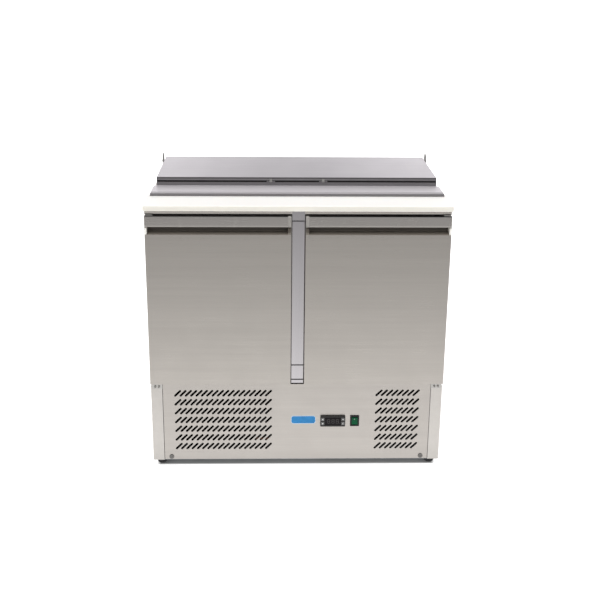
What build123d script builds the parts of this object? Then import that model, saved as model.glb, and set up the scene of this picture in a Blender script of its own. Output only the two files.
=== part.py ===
"""Two-door refrigerated sandwich prep table, built as separate pieces.

Frame: +X to the right of a person facing the doors, +Y to the back, +Z up.
The origin is on the floor, under the middle of the whole table.
All lengths are in millimetres.
"""
import math
import os

from build123d import *

# ---- driving dimensions -----------------------------------------------------------
BOARD_W = 900.0             # cutting board, the widest piece
BODY_W = 888.0              # cabinet, doors and worktop
FRONT = -335.0              # plane of the worktop edge and of the base panel
REAR = 345.0                # plane of the back panels
OVERALL_REAR = 350.0        # end of the cable gland
SHEET = 1.0                 # steel sheet as modelled
FOOT_H = 20.0

WORKTOP_TOP = 814.5
WORKTOP_T = 8.0             # folded edge of the worktop
BOARD_T = 15.0
BOARD_DEPTH = 150.0

DOOR_FACE = -347.5
DOOR_BACK = -297.5
DOOR_BOTTOM = 279.5
DOOR_TOP = 802.5
DOOR_INNER_X = 20.5
PANEL_TOP = 748.5           # top of the flat door skin, under the grip recess
GRIP_TOP = 770.5            # underside of the handle profile
GRIP_BACK = -318.5          # back wall of the grip recess
HANDLE_FACE = -350.0
CAP_W = 10.0                # inner end cap of the handle profile

HINGE_X = 430.0             # door pivots
HINGE_Y = -326.0
PIN_R = 4.0
RUN_FIT = 0.05              # radial clearance of every hinge pin

FRAME_Y = -290.0            # face that the door gaskets seal on
WALL = 42.0                 # foam wall
CAVITY_BOTTOM = 317.0
CAVITY_TOP = 768.0
POST_X = 42.0               # half width of the post between the door openings

PANEL_TOP_Z = 275.0         # top of the grille panel
COLUMN_W = 34.0             # folded front column of each side panel
COLUMN_TOP = 268.0
PANEL_X = 408.5

MULLION_X = 18.5
MULLION_FACE = -336.0
MULLION_LEVELS = ((279.5, 289.5), (293.0, 336.5), (340.0, 785.5))
CAP_BOTTOM = 788.5

WELL_X = 390.0              # pan well, inside the raised surround
WELL_FRONT = -171.0
WELL_BACK = 138.0
SURROUND_X = 440.0
SURROUND_FRONT = -184.0
SURROUND_BACK = 158.0
SURROUND_TOP = 828.0
PAN_RIM = (265.0, 325.0)
PAN_BODY = (243.0, 303.0)
PAN_DEPTH = 150.0
PAN_PITCH = 266.0

LID_X = 428.0               # rear leaf of the lid
LID_FRONT = -121.0
LID_BACK = 199.0
LID_TOP = 868.0
LID_BOTTOM = 830.5
LID_FACE_BOTTOM = 857.5
LID_AXIS = (188.0, 856.0)   # Y, Z of the rear pivots
LID_PIN_R = 3.0
FLAP_X = 440.0              # front leaf of the lid
FLAP_FRONT = -209.5
FLAP_BACK = -122.0
FLAP_TOP = 842.0
FLAP_BOTTOM = 830.0
FLAP_BEVEL = 5.0
RISER_TOP = 853.5
FOLD_AXIS = (-123.5, 855.5)  # Y, Z of the fold between the two leaves
FOLD_X = 80.0
KNUCKLE_R = 2.0

SLOT_PITCH = (16.25, 29.7)
SLOT_LENGTH = 28.5
SLOT_W = 6.8
SLOT_ROWS = 7
SLOT_TOP_Z = 245.0
SLOT_FIELDS = ((-363.5, 18), (251.2, 8))     # X of the first slot, slots in a row
CONTROL_X = 111.0
CONTROL_Z = 152.0
SWITCH_X = 178.5

FAN_R = 88.0                # condenser fan
FAN_X = -260.0
FAN_Z = 150.0
FAN_Y = -232.0
COLD_FAN_R = 56.0           # evaporator fan
COLD_FAN_Z = 650.0
COLD_FAN_Y = 247.0
FAN_DEPTH = 16.0
BLADE_PITCH = 32.0          # degrees
BLADE_T = 1.6

COLD_COIL_X = (78.0, 235.0)           # each half of the evaporator
COLD_COIL_Y = (262.0, 298.0)
COLD_COIL_Z = (570.0, 730.0)
COLD_COVER_X = 250.0
COLD_COVER_FRONT = 232.0
COLD_COVER_Z = (552.0, 748.0)
COIL_X = (-385.0, -135.0)             # condenser
COIL_Y = (-296.0, -250.0)
COIL_Z = (45.0, 255.0)
TUBE_R = 5.0
BEND_REACH = 8.0            # return bends stand this far out of a coil
COMPRESSOR_X = 210.0
COMPRESSOR_Y = 90.0
COMPRESSOR_R = 78.0
COMPRESSOR_Z = (40.0, 190.0)
COMPRESSOR_FEET = (90.0, 45.0)
PIPE_R = 4.0
SUCTION_R = 5.0
DRIER_R = 12.0
LOW_RUN_Z = 62.0            # lowest run of pipe
HIGH_RUN_Z = 236.0
PIPE_Y = -273.0             # pipes meet the condenser in this plane
TRAY_X = (-380.0, -180.0)
TRAY_Y = (60.0, 300.0)
TRAY_TOP = 60.0

SHELF_X = (12.0, 396.0)     # each wire shelf
SHELF_Y = (-246.0, 228.0)
SHELF_Z = 505.0
SHELF_FRAME_R = 3.0
SHELF_ROD_R = 1.6
SHELF_RODS = 15
RUNNER_Z = 500.0
RUNNER_RAIL_X = 9.0
POST_BACK = FRAME_Y + 41.0
LINER_REAR = 304.0

BEZEL_W = 77.0              # thermostat
BEZEL_H = 36.0
BEZEL_T = 6.0
WINDOW = (49.0, 26.0)
KEY = 10.0
KEY_WELL = 10.6
SWITCH_W = 28.0
ROCKER_W = 18.0
ROCKER_PIN_R = 1.5
GLAND_X = 370.0
GLAND_Z = 120.0
GLAND_BORE_R = 4.5
BRACKET_X = (434.0, 437.0)  # lid bracket plates
BRACKET_R = 14.0
LINER_TRAY_BACK = 176.0     # inner tray of the lid


# ---- helpers ------------------------------------------------------------------------
def block(x0, x1, y0, y1, z0, z1):
    """Box between two corners."""
    centre = Pos((x0 + x1) / 2, (y0 + y1) / 2, (z0 + z1) / 2)
    return centre * Box(abs(x1 - x0), abs(y1 - y0), abs(z1 - z0))


def wide(half, y0, y1, z0, z1):
    """Box centred on X = 0."""
    return block(-half, half, y0, y1, z0, z1)


def rod_x(x0, x1, y, z, radius):
    """Round bar along X."""
    return Pos((x0 + x1) / 2, y, z) * Rot(0, 90, 0) * Cylinder(radius, abs(x1 - x0))


def rod_y(x, y0, y1, z, radius):
    """Round bar along Y."""
    return Pos(x, (y0 + y1) / 2, z) * Rot(90, 0, 0) * Cylinder(radius, abs(y1 - y0))


def rod_z(x, y, z0, z1, radius):
    """Round bar along Z."""
    return Pos(x, y, (z0 + z1) / 2) * Cylinder(radius, abs(z1 - z0))


def along_x(points, x0, x1):
    """Outline of (Y, Z) points, extruded along X from x0 to x1."""
    outline = Plane.YZ * make_face(Polyline(*points, close=True))
    return Pos(x0, 0, 0) * extrude(outline, amount=x1 - x0)


def mirrored(shape):
    """The same piece on the other side of the middle."""
    return mirror(shape, about=Plane.YZ)


def pair(shape):
    """A piece and its mirror image."""
    return [shape, mirrored(shape)]


def save(node, shapes):
    """Write one node from one solid or a list of solids."""
    parts = shapes if isinstance(shapes, list) else [shapes]
    solids = [solid for part in parts for solid in part.solids()]
    shape = solids[0] if len(solids) == 1 else Compound(solids)
    export_step(shape, f"parts/{node}.step")


# ---- cabinet shell --------------------------------------------------------------------
def side_panel():
    """Left outer side: upper sheet, lower sheet, folded front column."""
    x = BODY_W / 2
    upper = block(-x, -x + SHEET, FRAME_Y, REAR, COLUMN_TOP, WORKTOP_TOP - WORKTOP_T)
    lower = block(-x, -x + SHEET, FRONT, REAR, FOOT_H, COLUMN_TOP)
    column = block(-x, -x + COLUMN_W, FRONT, FRONT + SHEET, FOOT_H, COLUMN_TOP)
    inner = block(-x + COLUMN_W - SHEET, -x + COLUMN_W, FRONT, FRONT + 20, FOOT_H + 2, COLUMN_TOP)
    shelf = block(-x, -x + COLUMN_W, FRONT, FRAME_Y, COLUMN_TOP - SHEET, COLUMN_TOP)
    return upper + lower + column + inner + shelf


def back_panel():
    """Outer back of the cold cabinet, with a stiffening fold at its foot."""
    half = BODY_W / 2 - SHEET
    top = WORKTOP_TOP - WORKTOP_T
    plate = wide(half, REAR - SHEET, REAR, CAVITY_BOTTOM - 40, top)
    fold = wide(half, REAR - 16, REAR, CAVITY_BOTTOM - 41, CAVITY_BOTTOM - 40)
    return plate + fold


def rear_vent_panel():
    """Cover of the machine space at the back, with louvre slots and a gland hole."""
    half = BODY_W / 2 - SHEET
    panel = wide(half, REAR - SHEET, REAR, FOOT_H + 3, CAVITY_BOTTOM - 42)
    for side in (-1, 1):
        for row in range(8):
            z = 70 + 22 * row
            panel -= block(side * 60, side * 300, REAR - 3, REAR + 1, z, z + 7)
    return panel - rod_y(370, REAR - 3, REAR + 1, 120, 8)


def base_plates():
    """Base tray that carries the machine, and the sheet under the foam floor."""
    half = BODY_W / 2 - SHEET
    tray = wide(half, FRONT + 3, REAR - SHEET, FOOT_H, FOOT_H + 2)
    ceiling = wide(half, FRAME_Y, REAR - 17, CAVITY_BOTTOM - 41, CAVITY_BOTTOM - 40)
    return [tray, ceiling]


def foam_insulation():
    """Foam slabs between the outer sheets and the liner."""
    outer = BODY_W / 2 - SHEET
    inner = outer - WALL
    front = FRAME_Y + SHEET
    floor = CAVITY_BOTTOM - 40
    back = REAR - SHEET
    top = WORKTOP_TOP - WORKTOP_T
    back_face = back - WALL + 3
    slabs = pair(block(-outer, -inner, front, back, floor, top))
    slabs.append(wide(inner, front, back, floor, CAVITY_BOTTOM - SHEET))
    slabs.append(wide(inner, back_face, back, CAVITY_BOTTOM - SHEET, top))
    slabs.append(wide(inner, front, WELL_FRONT - 2, CAVITY_TOP + SHEET, top))
    slabs.append(wide(inner, WELL_BACK + 2, back_face, CAVITY_TOP + SHEET, top))
    post = wide(POST_X - SHEET, front, front + WALL - 3, CAVITY_BOTTOM, CAVITY_TOP)
    slabs.append(post)
    return slabs


def inner_liner():
    """Sheet liner of the cold space, with the wrap of the middle post."""
    outer = BODY_W / 2 - SHEET - WALL
    front = FRAME_Y + SHEET
    back = REAR - SHEET - WALL + 3
    floor = CAVITY_BOTTOM - SHEET
    shell = wide(outer, front, back, floor, CAVITY_TOP + SHEET)
    shell -= wide(outer - SHEET, front - 1, back - SHEET, CAVITY_BOTTOM, CAVITY_TOP)
    shell -= wide(outer - 8, WELL_FRONT - 2, WELL_BACK + 2, CAVITY_TOP - 2, CAVITY_TOP + 5)
    post_back = front + WALL - 3
    wrap = wide(POST_X, front, post_back + SHEET, CAVITY_BOTTOM, CAVITY_TOP)
    wrap -= wide(POST_X - SHEET, front - 1, post_back, CAVITY_BOTTOM - 1, CAVITY_TOP + 1)
    return shell + wrap


def face_frame():
    """Flat frame round the two door openings, which the gaskets seal on."""
    half = BODY_W / 2 - SHEET
    back = FRAME_Y + SHEET
    frame = wide(half, FRAME_Y, back, CAVITY_BOTTOM - 40, WORKTOP_TOP - WORKTOP_T)
    opening_x = BODY_W / 2 - SHEET - WALL - SHEET
    for side in (-1, 1):
        frame -= block(side * POST_X, side * opening_x, FRAME_Y - 1, back + 1,
                       CAVITY_BOTTOM, CAVITY_TOP)
    return frame


def mullion_top_cap():
    """Head of the mullion, whose face runs up over the worktop edge."""
    head = wide(MULLION_X, FRONT, FRAME_Y, CAP_BOTTOM, WORKTOP_TOP - WORKTOP_T)
    face = wide(MULLION_X, MULLION_FACE, FRONT, CAP_BOTTOM, WORKTOP_TOP)
    return head + face


def mullion_strips():
    """Foot, short strip and long strip of the mullion, with open joints between."""
    strips = []
    for low, high in MULLION_LEVELS:
        strip = wide(MULLION_X, MULLION_FACE, FRAME_Y, low, high)
        face = strip.faces().sort_by(Axis.Y)[0]
        strips.append(fillet(face.edges().filter_by(Axis.Z), 1.0))
    return strips


def grille_slot(x, z):
    """One slanted slot with round ends."""
    slot = Pos(x, FRONT, z) * Rot(90, 0, 0) * Rot(0, 0, 45)
    return slot * extrude(SlotOverall(SLOT_LENGTH, SLOT_W), amount=6, both=True)


def grille_panel():
    """Removable front panel of the machine space."""
    bottom = FOOT_H + 2.5
    panel = wide(PANEL_X, FRONT, FRONT + SHEET, bottom, PANEL_TOP_Z)
    panel += wide(PANEL_X, FRONT, FRONT + 18, PANEL_TOP_Z - SHEET, PANEL_TOP_Z)
    for side in (-1, 1):
        edge = side * PANEL_X
        panel += block(edge, edge - side * SHEET, FRONT, FRONT + 14, bottom, PANEL_TOP_Z)
    slots = []
    for first_x, count in SLOT_FIELDS:
        for row in range(SLOT_ROWS):
            z = SLOT_TOP_Z - SLOT_PITCH[1] * row
            slots += [grille_slot(first_x + SLOT_PITCH[0] * i, z) for i in range(count)]
    panel -= slots
    panel -= block(CONTROL_X - 35.5, CONTROL_X + 35.5, FRONT - 1, FRONT + 2,
                   CONTROL_Z - 14.5, CONTROL_Z + 14.5)
    panel -= block(SWITCH_X - 11.5, SWITCH_X + 11.5, FRONT - 1, FRONT + 2,
                   CONTROL_Z - 15.5, CONTROL_Z + 15.5)
    for side in (-1, 1):
        panel -= rod_y(side * 387.5, FRONT - 1, FRONT + 2, 31, 3.2)
    return panel


def front_screws():
    """Two panel fasteners and the four bolts of the lower hinge brackets."""
    screws = []
    for side in (-1, 1):
        head = rod_y(side * 387.5, FRONT - 2.5, FRONT, 31, 7.5)
        head = fillet(head.edges().sort_by(Axis.Y)[0], 1.2)
        head -= block(side * 387.5 - 5, side * 387.5 + 5, FRONT - 4, FRONT - 1.4, 30.2, 31.8)
        screws.append(head + rod_y(side * 387.5, FRONT, FRONT + 14, 31, 3.0))
        for x in (419.5, 430.5):
            bolt = rod_y(side * x, FRONT - 6.5, FRONT - 3, 268.5, 3.4)
            bolt -= rod_y(side * x, FRONT - 7, FRONT - 5, 268.5, 1.6)
            screws.append(bolt)
    return screws


def feet():
    """Four tapered feet with a moulded collar."""
    shapes = []
    for x in (-420, 420):
        for y in (-303, 315):
            pad = Pos(x, y, FOOT_H / 2 - 1.5) * Cone(13.5, 17.5, FOOT_H - 3)
            collar = rod_z(x, y, FOOT_H - 3, FOOT_H, 17.5)
            foot = fillet((pad + collar).edges().sort_by(Axis.Z)[0], 1.5)
            shapes.append(foot)
    return shapes


# ---- worktop, board and pans ---------------------------------------------------------------
def worktop():
    """Folded steel worktop with the cut-out for the pan well."""
    half = BODY_W / 2
    low = WORKTOP_TOP - WORKTOP_T
    top = wide(half, FRONT, REAR, low, WORKTOP_TOP)
    front_edge = top.edges().filter_by(Axis.X).group_by(Axis.Y)[0].sort_by(Axis.Z)[-1]
    top = fillet(front_edge, 1.5)
    top -= wide(half - SHEET, FRONT + SHEET, REAR - SHEET, low - 1, WORKTOP_TOP - SHEET)
    top -= wide(WELL_X + SHEET, WELL_FRONT - SHEET, WELL_BACK + SHEET, low - 1, 820)
    lip = wide(half, FRONT, FRONT + 12, low, low + SHEET)
    return top + lip


def pan_surround():
    """Raised frame round the pan well, with the well's walls."""
    outer = wide(SURROUND_X, SURROUND_FRONT, SURROUND_BACK, WORKTOP_TOP, SURROUND_TOP)
    outer = fillet(outer.edges().group_by(Axis.Z)[-1], 2.0)
    hollow = wide(SURROUND_X - SHEET, SURROUND_FRONT + SHEET, SURROUND_BACK - SHEET,
                  WORKTOP_TOP - 1, SURROUND_TOP - SHEET)
    walls = wide(WELL_X + SHEET, WELL_FRONT - SHEET, WELL_BACK + SHEET,
                 CAVITY_TOP + 2, SURROUND_TOP - SHEET)
    well = wide(WELL_X, WELL_FRONT, WELL_BACK, CAVITY_TOP - 5, SURROUND_TOP + 5)
    return outer - hollow + walls - well


def pan_support_bars():
    """Two bars across the well, under the pan rims."""
    bars = []
    for x in (-PAN_PITCH / 2, PAN_PITCH / 2):
        bar = block(x - 7, x + 7, WELL_FRONT, WELL_BACK, SURROUND_TOP - 8, SURROUND_TOP)
        bar -= block(x - 6, x + 6, WELL_FRONT + 1, WELL_BACK - 1,
                     SURROUND_TOP - 9, SURROUND_TOP - 1)
        bars.append(bar)
    return bars


def food_pan(x):
    """One half-size gastronorm pan."""
    y = (WELL_FRONT + WELL_BACK) / 2
    rim = extrude(RectangleRounded(*PAN_RIM, 24), amount=1)
    top = RectangleRounded(*PAN_BODY, 22)
    hole = RectangleRounded(PAN_BODY[0] - 2, PAN_BODY[1] - 2, 21)
    body = extrude(top, amount=-PAN_DEPTH, taper=3)
    space = extrude(hole, amount=-PAN_DEPTH + 1, taper=3)
    space += extrude(hole, amount=2)
    return Pos(x, y, SURROUND_TOP) * (rim + body - space)


def cutting_board():
    """White board on the front of the worktop."""
    board = wide(BOARD_W / 2, FRONT, FRONT + BOARD_DEPTH, WORKTOP_TOP, WORKTOP_TOP + BOARD_T)
    board = fillet(board.edges().filter_by(Axis.Z), 5)
    return fillet(board.edges().group_by(Axis.Z)[-1], 1.5)


# ---- doors (drawn on the left, mirrored to the right) ---------------------------------------
def door_skin():
    """Outer door sheet: flat face, side, top and bottom returns."""
    x0 = -BODY_W / 2
    x1 = -DOOR_INNER_X
    back = DOOR_BACK - 1.5
    skin = block(x0, x1, DOOR_FACE, DOOR_FACE + SHEET, DOOR_BOTTOM, PANEL_TOP)
    skin += block(x0, x0 + SHEET, DOOR_FACE + 2, back, DOOR_BOTTOM, DOOR_TOP)
    skin += block(x0, x0 + SHEET, DOOR_FACE, DOOR_FACE + 2, DOOR_BOTTOM, PANEL_TOP)
    skin += block(x1 - SHEET, x1, DOOR_FACE + 2, back, DOOR_BOTTOM, DOOR_TOP)
    skin += block(x1 - SHEET, x1, DOOR_FACE, DOOR_FACE + 2, DOOR_BOTTOM, PANEL_TOP)
    skin += block(x0, x1, DOOR_FACE, back, DOOR_BOTTOM, DOOR_BOTTOM + SHEET)
    skin += block(x0, x1, FRONT, back, DOOR_TOP - SHEET, DOOR_TOP)
    return skin - rod_z(-HINGE_X, HINGE_Y, DOOR_BOTTOM - 1, DOOR_TOP + 1, PIN_R + 1)


def handle_outline():
    """Section of the handle profile, in Y and Z."""
    return ((FRONT - 2, DOOR_TOP), (HANDLE_FACE + 2, DOOR_TOP), (HANDLE_FACE, DOOR_TOP - 2),
            (HANDLE_FACE, GRIP_TOP + 5), (HANDLE_FACE + 1.2, GRIP_TOP + 1.5),
            (HANDLE_FACE + 3, GRIP_TOP), (FRONT - 2, GRIP_TOP))


def handle_profile():
    """Full-width bar at the top of the door."""
    bar = along_x(handle_outline(), -BODY_W / 2 + SHEET + 0.2, -DOOR_INNER_X - CAP_W)
    return bar


def grip_channel():
    """Recess behind the fingers, with its end blocks and the inner end cap."""
    x0 = -BODY_W / 2 + SHEET
    x1 = -DOOR_INNER_X - SHEET
    wall = 1.5
    front = DOOR_FACE + SHEET
    section = ((front, PANEL_TOP - wall), (GRIP_BACK + wall, PANEL_TOP + 4 - wall),
               (GRIP_BACK + wall, GRIP_TOP + wall), (FRONT - 2, GRIP_TOP + wall),
               (FRONT - 2, GRIP_TOP), (GRIP_BACK, GRIP_TOP), (GRIP_BACK, PANEL_TOP + 4),
               (front, PANEL_TOP))
    channel = along_x(section, x0, x1)
    solid = ((front, PANEL_TOP), (GRIP_BACK, PANEL_TOP + 4), (GRIP_BACK, GRIP_TOP),
             (DOOR_FACE + 6, GRIP_TOP), (front, GRIP_TOP - 4))
    channel += along_x(solid, x0, x0 + 5)
    channel += along_x(solid, x1 - CAP_W + SHEET, x1)
    cap = along_x(handle_outline(), -DOOR_INNER_X - CAP_W, -DOOR_INNER_X - 0.3)
    cap -= block(x1, 0, FRONT - 14, FRONT, DOOR_TOP - 60, DOOR_TOP + 1)
    return channel + cap


def door_foam():
    """Foam core of the door, stepped back behind the grip recess."""
    x0 = -BODY_W / 2 + SHEET
    x1 = -DOOR_INNER_X - SHEET
    front = DOOR_FACE + SHEET
    back = DOOR_BACK - 1.5
    low = PANEL_TOP - 3
    core = along_x(((front, DOOR_BOTTOM + SHEET), (back, DOOR_BOTTOM + SHEET),
                    (back, DOOR_TOP - SHEET), (GRIP_BACK + 3, DOOR_TOP - SHEET),
                    (GRIP_BACK + 3, low), (front, low)), x0, x1)
    return core - rod_z(-HINGE_X, HINGE_Y, DOOR_BOTTOM, DOOR_BOTTOM + 18, 7.2)


def door_liner():
    """Inner door panel with a shallow raised field."""
    x0 = -BODY_W / 2 + 2
    x1 = -DOOR_INNER_X - 2
    plate = block(x0, x1, DOOR_BACK - 1.5, DOOR_BACK, DOOR_BOTTOM + 2, DOOR_TOP - 2)
    field = block(-385, -62, DOOR_BACK, DOOR_BACK + 4, 335, 750)
    field = chamfer(field.faces().sort_by(Axis.Y)[-1].edges(), 3)
    return plate + field


def door_gasket():
    """Magnetic gasket round the inner face of the door."""
    x0, x1 = -432.0, -27.0
    y0, y1 = DOOR_BACK, FRAME_Y - 0.5
    z0, z1 = 290.0, 795.0
    band = 12.0
    ring = block(x0, x1, y0, y1, z0, z1)
    ring -= block(x0 + band, x1 - band, y0 - 1, y1 + 1, z0 + band, z1 - band)
    groove = block(x0 + 4, x1 - 4, y0 + 2.5, y0 + 4.5, z0 + 4, z1 - 4)
    groove -= block(x0 + band - 4, x1 - band + 4, y0, y1, z0 + band - 4, z1 - band + 4)
    return ring - groove


def door_bushes():
    """Nylon bushes for the door's two pivots."""
    bushes = []
    for low, high in ((DOOR_BOTTOM + SHEET, DOOR_BOTTOM + 18), (DOOR_TOP - 18, DOOR_TOP - SHEET)):
        bush = rod_z(-HINGE_X, HINGE_Y, low, high, 7)
        bushes.append(bush - rod_z(-HINGE_X, HINGE_Y, low - 1, high + 1, PIN_R + RUN_FIT))
    return bushes


# ---- hinges -------------------------------------------------------------------------------
def door_hinge_brackets():
    """Upper plate and lower angle bracket on each side."""
    upper = block(-440, -420, FRONT - 8, FRAME_Y, DOOR_TOP + 0.8, WORKTOP_TOP - WORKTOP_T)
    top = COLUMN_TOP + 10.5
    lower = block(-440, -409, FRONT - 3, FRAME_Y, top - 3, top)
    lower += block(-440, -409, FRONT - 3, FRONT, COLUMN_TOP - 6, top)
    lower = fillet(lower.edges().filter_by(Axis.X).group_by(Axis.Y)[0].sort_by(Axis.Z)[-1], 1.5)
    return pair(upper) + pair(lower)


def hinge_pins():
    """Door pivots and the lid's rear pivots."""
    upper = rod_z(-HINGE_X, HINGE_Y, DOOR_TOP - 16, DOOR_TOP + 0.8, PIN_R)
    lower = rod_z(-HINGE_X, HINGE_Y, COLUMN_TOP + 10.5, DOOR_BOTTOM + 16, PIN_R)
    lid = rod_x(-434, -416, *LID_AXIS, LID_PIN_R)
    return pair(upper) + pair(lower) + pair(lid)


def lid_hinge_brackets():
    """Upright plates on the worktop that carry the lid."""
    y, z = LID_AXIS
    inner, outer = BRACKET_X
    plate = block(-outer, -inner, y - BRACKET_R, y + BRACKET_R, WORKTOP_TOP, z + 12)
    plate += rod_x(-outer, -inner, y, z + 12, BRACKET_R)
    foot = block(-inner, 24 - inner, SURROUND_BACK + 1, SURROUND_BACK + 36,
                 WORKTOP_TOP, WORKTOP_TOP + 2)
    screw = rod_x(-outer - 3, -outer, y, z, 5)
    return pair(plate + foot + fillet(screw.edges().sort_by(Axis.X)[0], 1))


# ---- lid ----------------------------------------------------------------------------------
def lid_rear_panel():
    """Rear leaf of the lid: folded steel tray, open below, with pivot bosses."""
    y, z = LID_AXIS
    tray = wide(LID_X, LID_FRONT, LID_BACK, LID_BOTTOM, LID_TOP)
    tray = fillet(tray.edges().filter_by(Axis.Z), 1.5)
    tray = fillet(tray.edges().group_by(Axis.Z)[-1], 1.2)
    tray -= wide(LID_X - SHEET, LID_FRONT + SHEET, LID_BACK - SHEET, 0, LID_TOP - SHEET)
    tray -= wide(LID_X - SHEET, LID_FRONT - 1, LID_FRONT + 2, 0, LID_FACE_BOTTOM)
    tray -= wide(LID_X - SHEET, LID_BACK - 2, LID_BACK + 1, 0, LID_BOTTOM + 12)
    tray += wide(LID_X - SHEET, LID_FRONT, LID_FRONT + 6, LID_FACE_BOTTOM, LID_FACE_BOTTOM + SHEET)
    for side in (-1, 1):
        tray += rod_x(side * (LID_X - SHEET), side * (LID_X - 12), y, z, 8)
        tray -= rod_x(side * (LID_X + 2), side * (LID_X - 14), y, z, LID_PIN_R + RUN_FIT)
    return tray


def lid_liner():
    """Foam-filled inner tray of the rear leaf."""
    liner = wide(LID_X - 1.5, LID_FRONT + 4, LINER_TRAY_BACK, LID_BOTTOM + 8, LID_FACE_BOTTOM)
    liner = chamfer(liner.edges().group_by(Axis.Z)[0], 4)
    return liner + wide(LID_X - 3, LID_FRONT + 7, LINER_TRAY_BACK, LID_FACE_BOTTOM, LID_TOP - SHEET)


def lid_seal():
    """Dark rubber strip behind the gap between the two leaves."""
    return wide(LID_X - 1.5, LID_FRONT + 1, LID_FRONT + 4, LID_BOTTOM + 12, LID_FACE_BOTTOM)


def lid_front_flap():
    """Front leaf: bevelled tray with a lip, a rear riser and its hinge knuckles."""
    y, z = FOLD_AXIS
    outer = wide(FLAP_X, FLAP_FRONT, FLAP_BACK, FLAP_BOTTOM, FLAP_TOP)
    top_edges = outer.edges().group_by(Axis.Z)[-1].sort_by(Axis.Y)
    outer = chamfer(top_edges[0:3], FLAP_BEVEL)
    inner = wide(FLAP_X - SHEET, FLAP_FRONT + SHEET, FLAP_BACK - SHEET,
                 FLAP_BOTTOM - 5, FLAP_TOP - SHEET)
    inner_edges = inner.edges().group_by(Axis.Z)[-1].sort_by(Axis.Y)
    inner = chamfer(inner_edges[0:3], FLAP_BEVEL)
    flap = outer - inner
    flap += wide(LID_X, FLAP_BACK - SHEET, FLAP_BACK, FLAP_TOP - SHEET, RISER_TOP)
    for side in (-1, 1):
        for offset in (-8.2, 8.2):
            x = side * FOLD_X + offset
            flap += rod_x(x - 3.8, x + 3.8, y, z, KNUCKLE_R)
            flap += block(x - 3.8, x + 3.8, y - 0.5, y + 1.5, RISER_TOP - 2, z)
        x = side * FOLD_X
        flap -= rod_x(x - 14, x + 14, y, z, 1.0 + RUN_FIT)
    return flap


def flap_hinges():
    """Rear-leaf halves of the two fold hinges, with their pins."""
    y, z = FOLD_AXIS
    hinges = []
    for x in (-FOLD_X, FOLD_X):
        knuckle = rod_x(x - 4, x + 4, y, z, KNUCKLE_R)
        knuckle += block(x - 4, x + 4, y + 0.5, LID_FRONT, z - 1, z + 8)
        knuckle += rod_x(x - 12.5, x + 12.5, y, z, 1.0)
        hinges.append(knuckle)
    return hinges


# ---- inside the cabinet ------------------------------------------------------------------------
def shelf_runners():
    """Angle runners that carry the shelves, on the walls and on a middle rail."""
    runners = []
    wall = BODY_W / 2 - SHEET - WALL - SHEET
    y0, y1 = SHELF_Y[0] - 2, SHELF_Y[1] + 2
    for side in (-1, 1):
        for x in (wall, RUNNER_RAIL_X):
            inward = -1 if x == wall else 1
            upright = block(side * x, side * (x + inward * 1.5), y0, y1, RUNNER_Z, RUNNER_Z + 16)
            ledge = block(side * x, side * (x + inward * 14), y0, y1, RUNNER_Z, RUNNER_Z + 1.5)
            runners.append(upright + ledge)
    rail = wide(RUNNER_RAIL_X, POST_BACK, LINER_REAR, RUNNER_Z - 4, RUNNER_Z)
    return runners + [rail]


def wire_shelf(side):
    """One wire shelf: a rod frame with bars front to back."""
    x0, x1 = SHELF_X
    y0, y1 = SHELF_Y
    thick = SHELF_FRAME_R
    rods = [rod_x(side * x0, side * x1, y, SHELF_Z, thick) for y in (y0, y1, -5)]
    rods += [rod_y(side * x, y0 - thick, y1 + thick, SHELF_Z, thick)
             for x in (x0 + thick, x1 - thick)]
    step = (x1 - x0 - 2 * thick) / (SHELF_RODS + 1)
    rods += [rod_y(side * (x0 + thick + step * (i + 1)), y0, y1, SHELF_Z + thick, SHELF_ROD_R)
             for i in range(SHELF_RODS)]
    shelf = rods[0]
    for rod in rods[1:]:
        shelf += rod
    return shelf


def evaporator_coil():
    """Two finned blocks with their return bends."""
    blocks = []
    middle = (COLD_COIL_Y[0] + COLD_COIL_Y[1]) / 2
    for side in (-1, 1):
        x0, x1 = side * COLD_COIL_X[0], side * COLD_COIL_X[1]
        core = block(x0, x1, *COLD_COIL_Y, *COLD_COIL_Z)
        for row in range(5):
            core += rod_x(x0, x1 + side * BEND_REACH, middle, COLD_COIL_Z[0] + 16 + 32 * row, TUBE_R)
        blocks.append(core)
    return blocks


def evaporator_cover():
    """Cover of the evaporator on the back wall, with its fan mouth."""
    front = COLD_COVER_FRONT
    low, high = COLD_COVER_Z
    cover = wide(COLD_COVER_X, front, LINER_REAR - 3, low, high)
    cover = fillet(cover.edges().filter_by(Axis.X).group_by(Axis.Y)[0], 10)
    cover -= wide(COLD_COVER_X - 1.5, front + 2, LINER_REAR - 2, low + 1.5, high - 1.5)
    cover -= rod_y(0, front - 7, front + 8, COLD_FAN_Z, COLD_FAN_R + 5)
    for side in (-1, 1):
        for row in range(6):
            z = low + 28 + 24 * row
            cover -= block(side * 110, side * 220, front - 7, front + 8, z, z + 8)
    return cover


def fan_motors():
    """Motors of the evaporator fan and the condenser fan, with their stays."""
    cold = rod_y(0, COLD_FAN_Y + 14, LINER_REAR - 4, COLD_FAN_Z, 20)
    cold += rod_y(0, COLD_FAN_Y - 4, COLD_FAN_Y + 14, COLD_FAN_Z, 3)
    warm = rod_y(FAN_X, FAN_Y + 22, FAN_Y + 70, FAN_Z, 32)
    warm += rod_y(FAN_X, FAN_Y - 6, FAN_Y + 22, FAN_Z, 4)
    reach = 105.0
    for angle in (45, 135):
        warm += Pos(FAN_X, FAN_Y + 45, FAN_Z) * Rot(0, angle, 0) * Box(2 * reach, 2, 8)
        for side in (-1, 1):
            dx = side * reach * math.cos(math.radians(angle))
            dz = side * reach * math.sin(math.radians(angle))
            warm += rod_y(FAN_X + dx, COIL_Y[1] + 1.5, FAN_Y + 46, FAN_Z - dz, 4)
    return [cold, warm]


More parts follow.
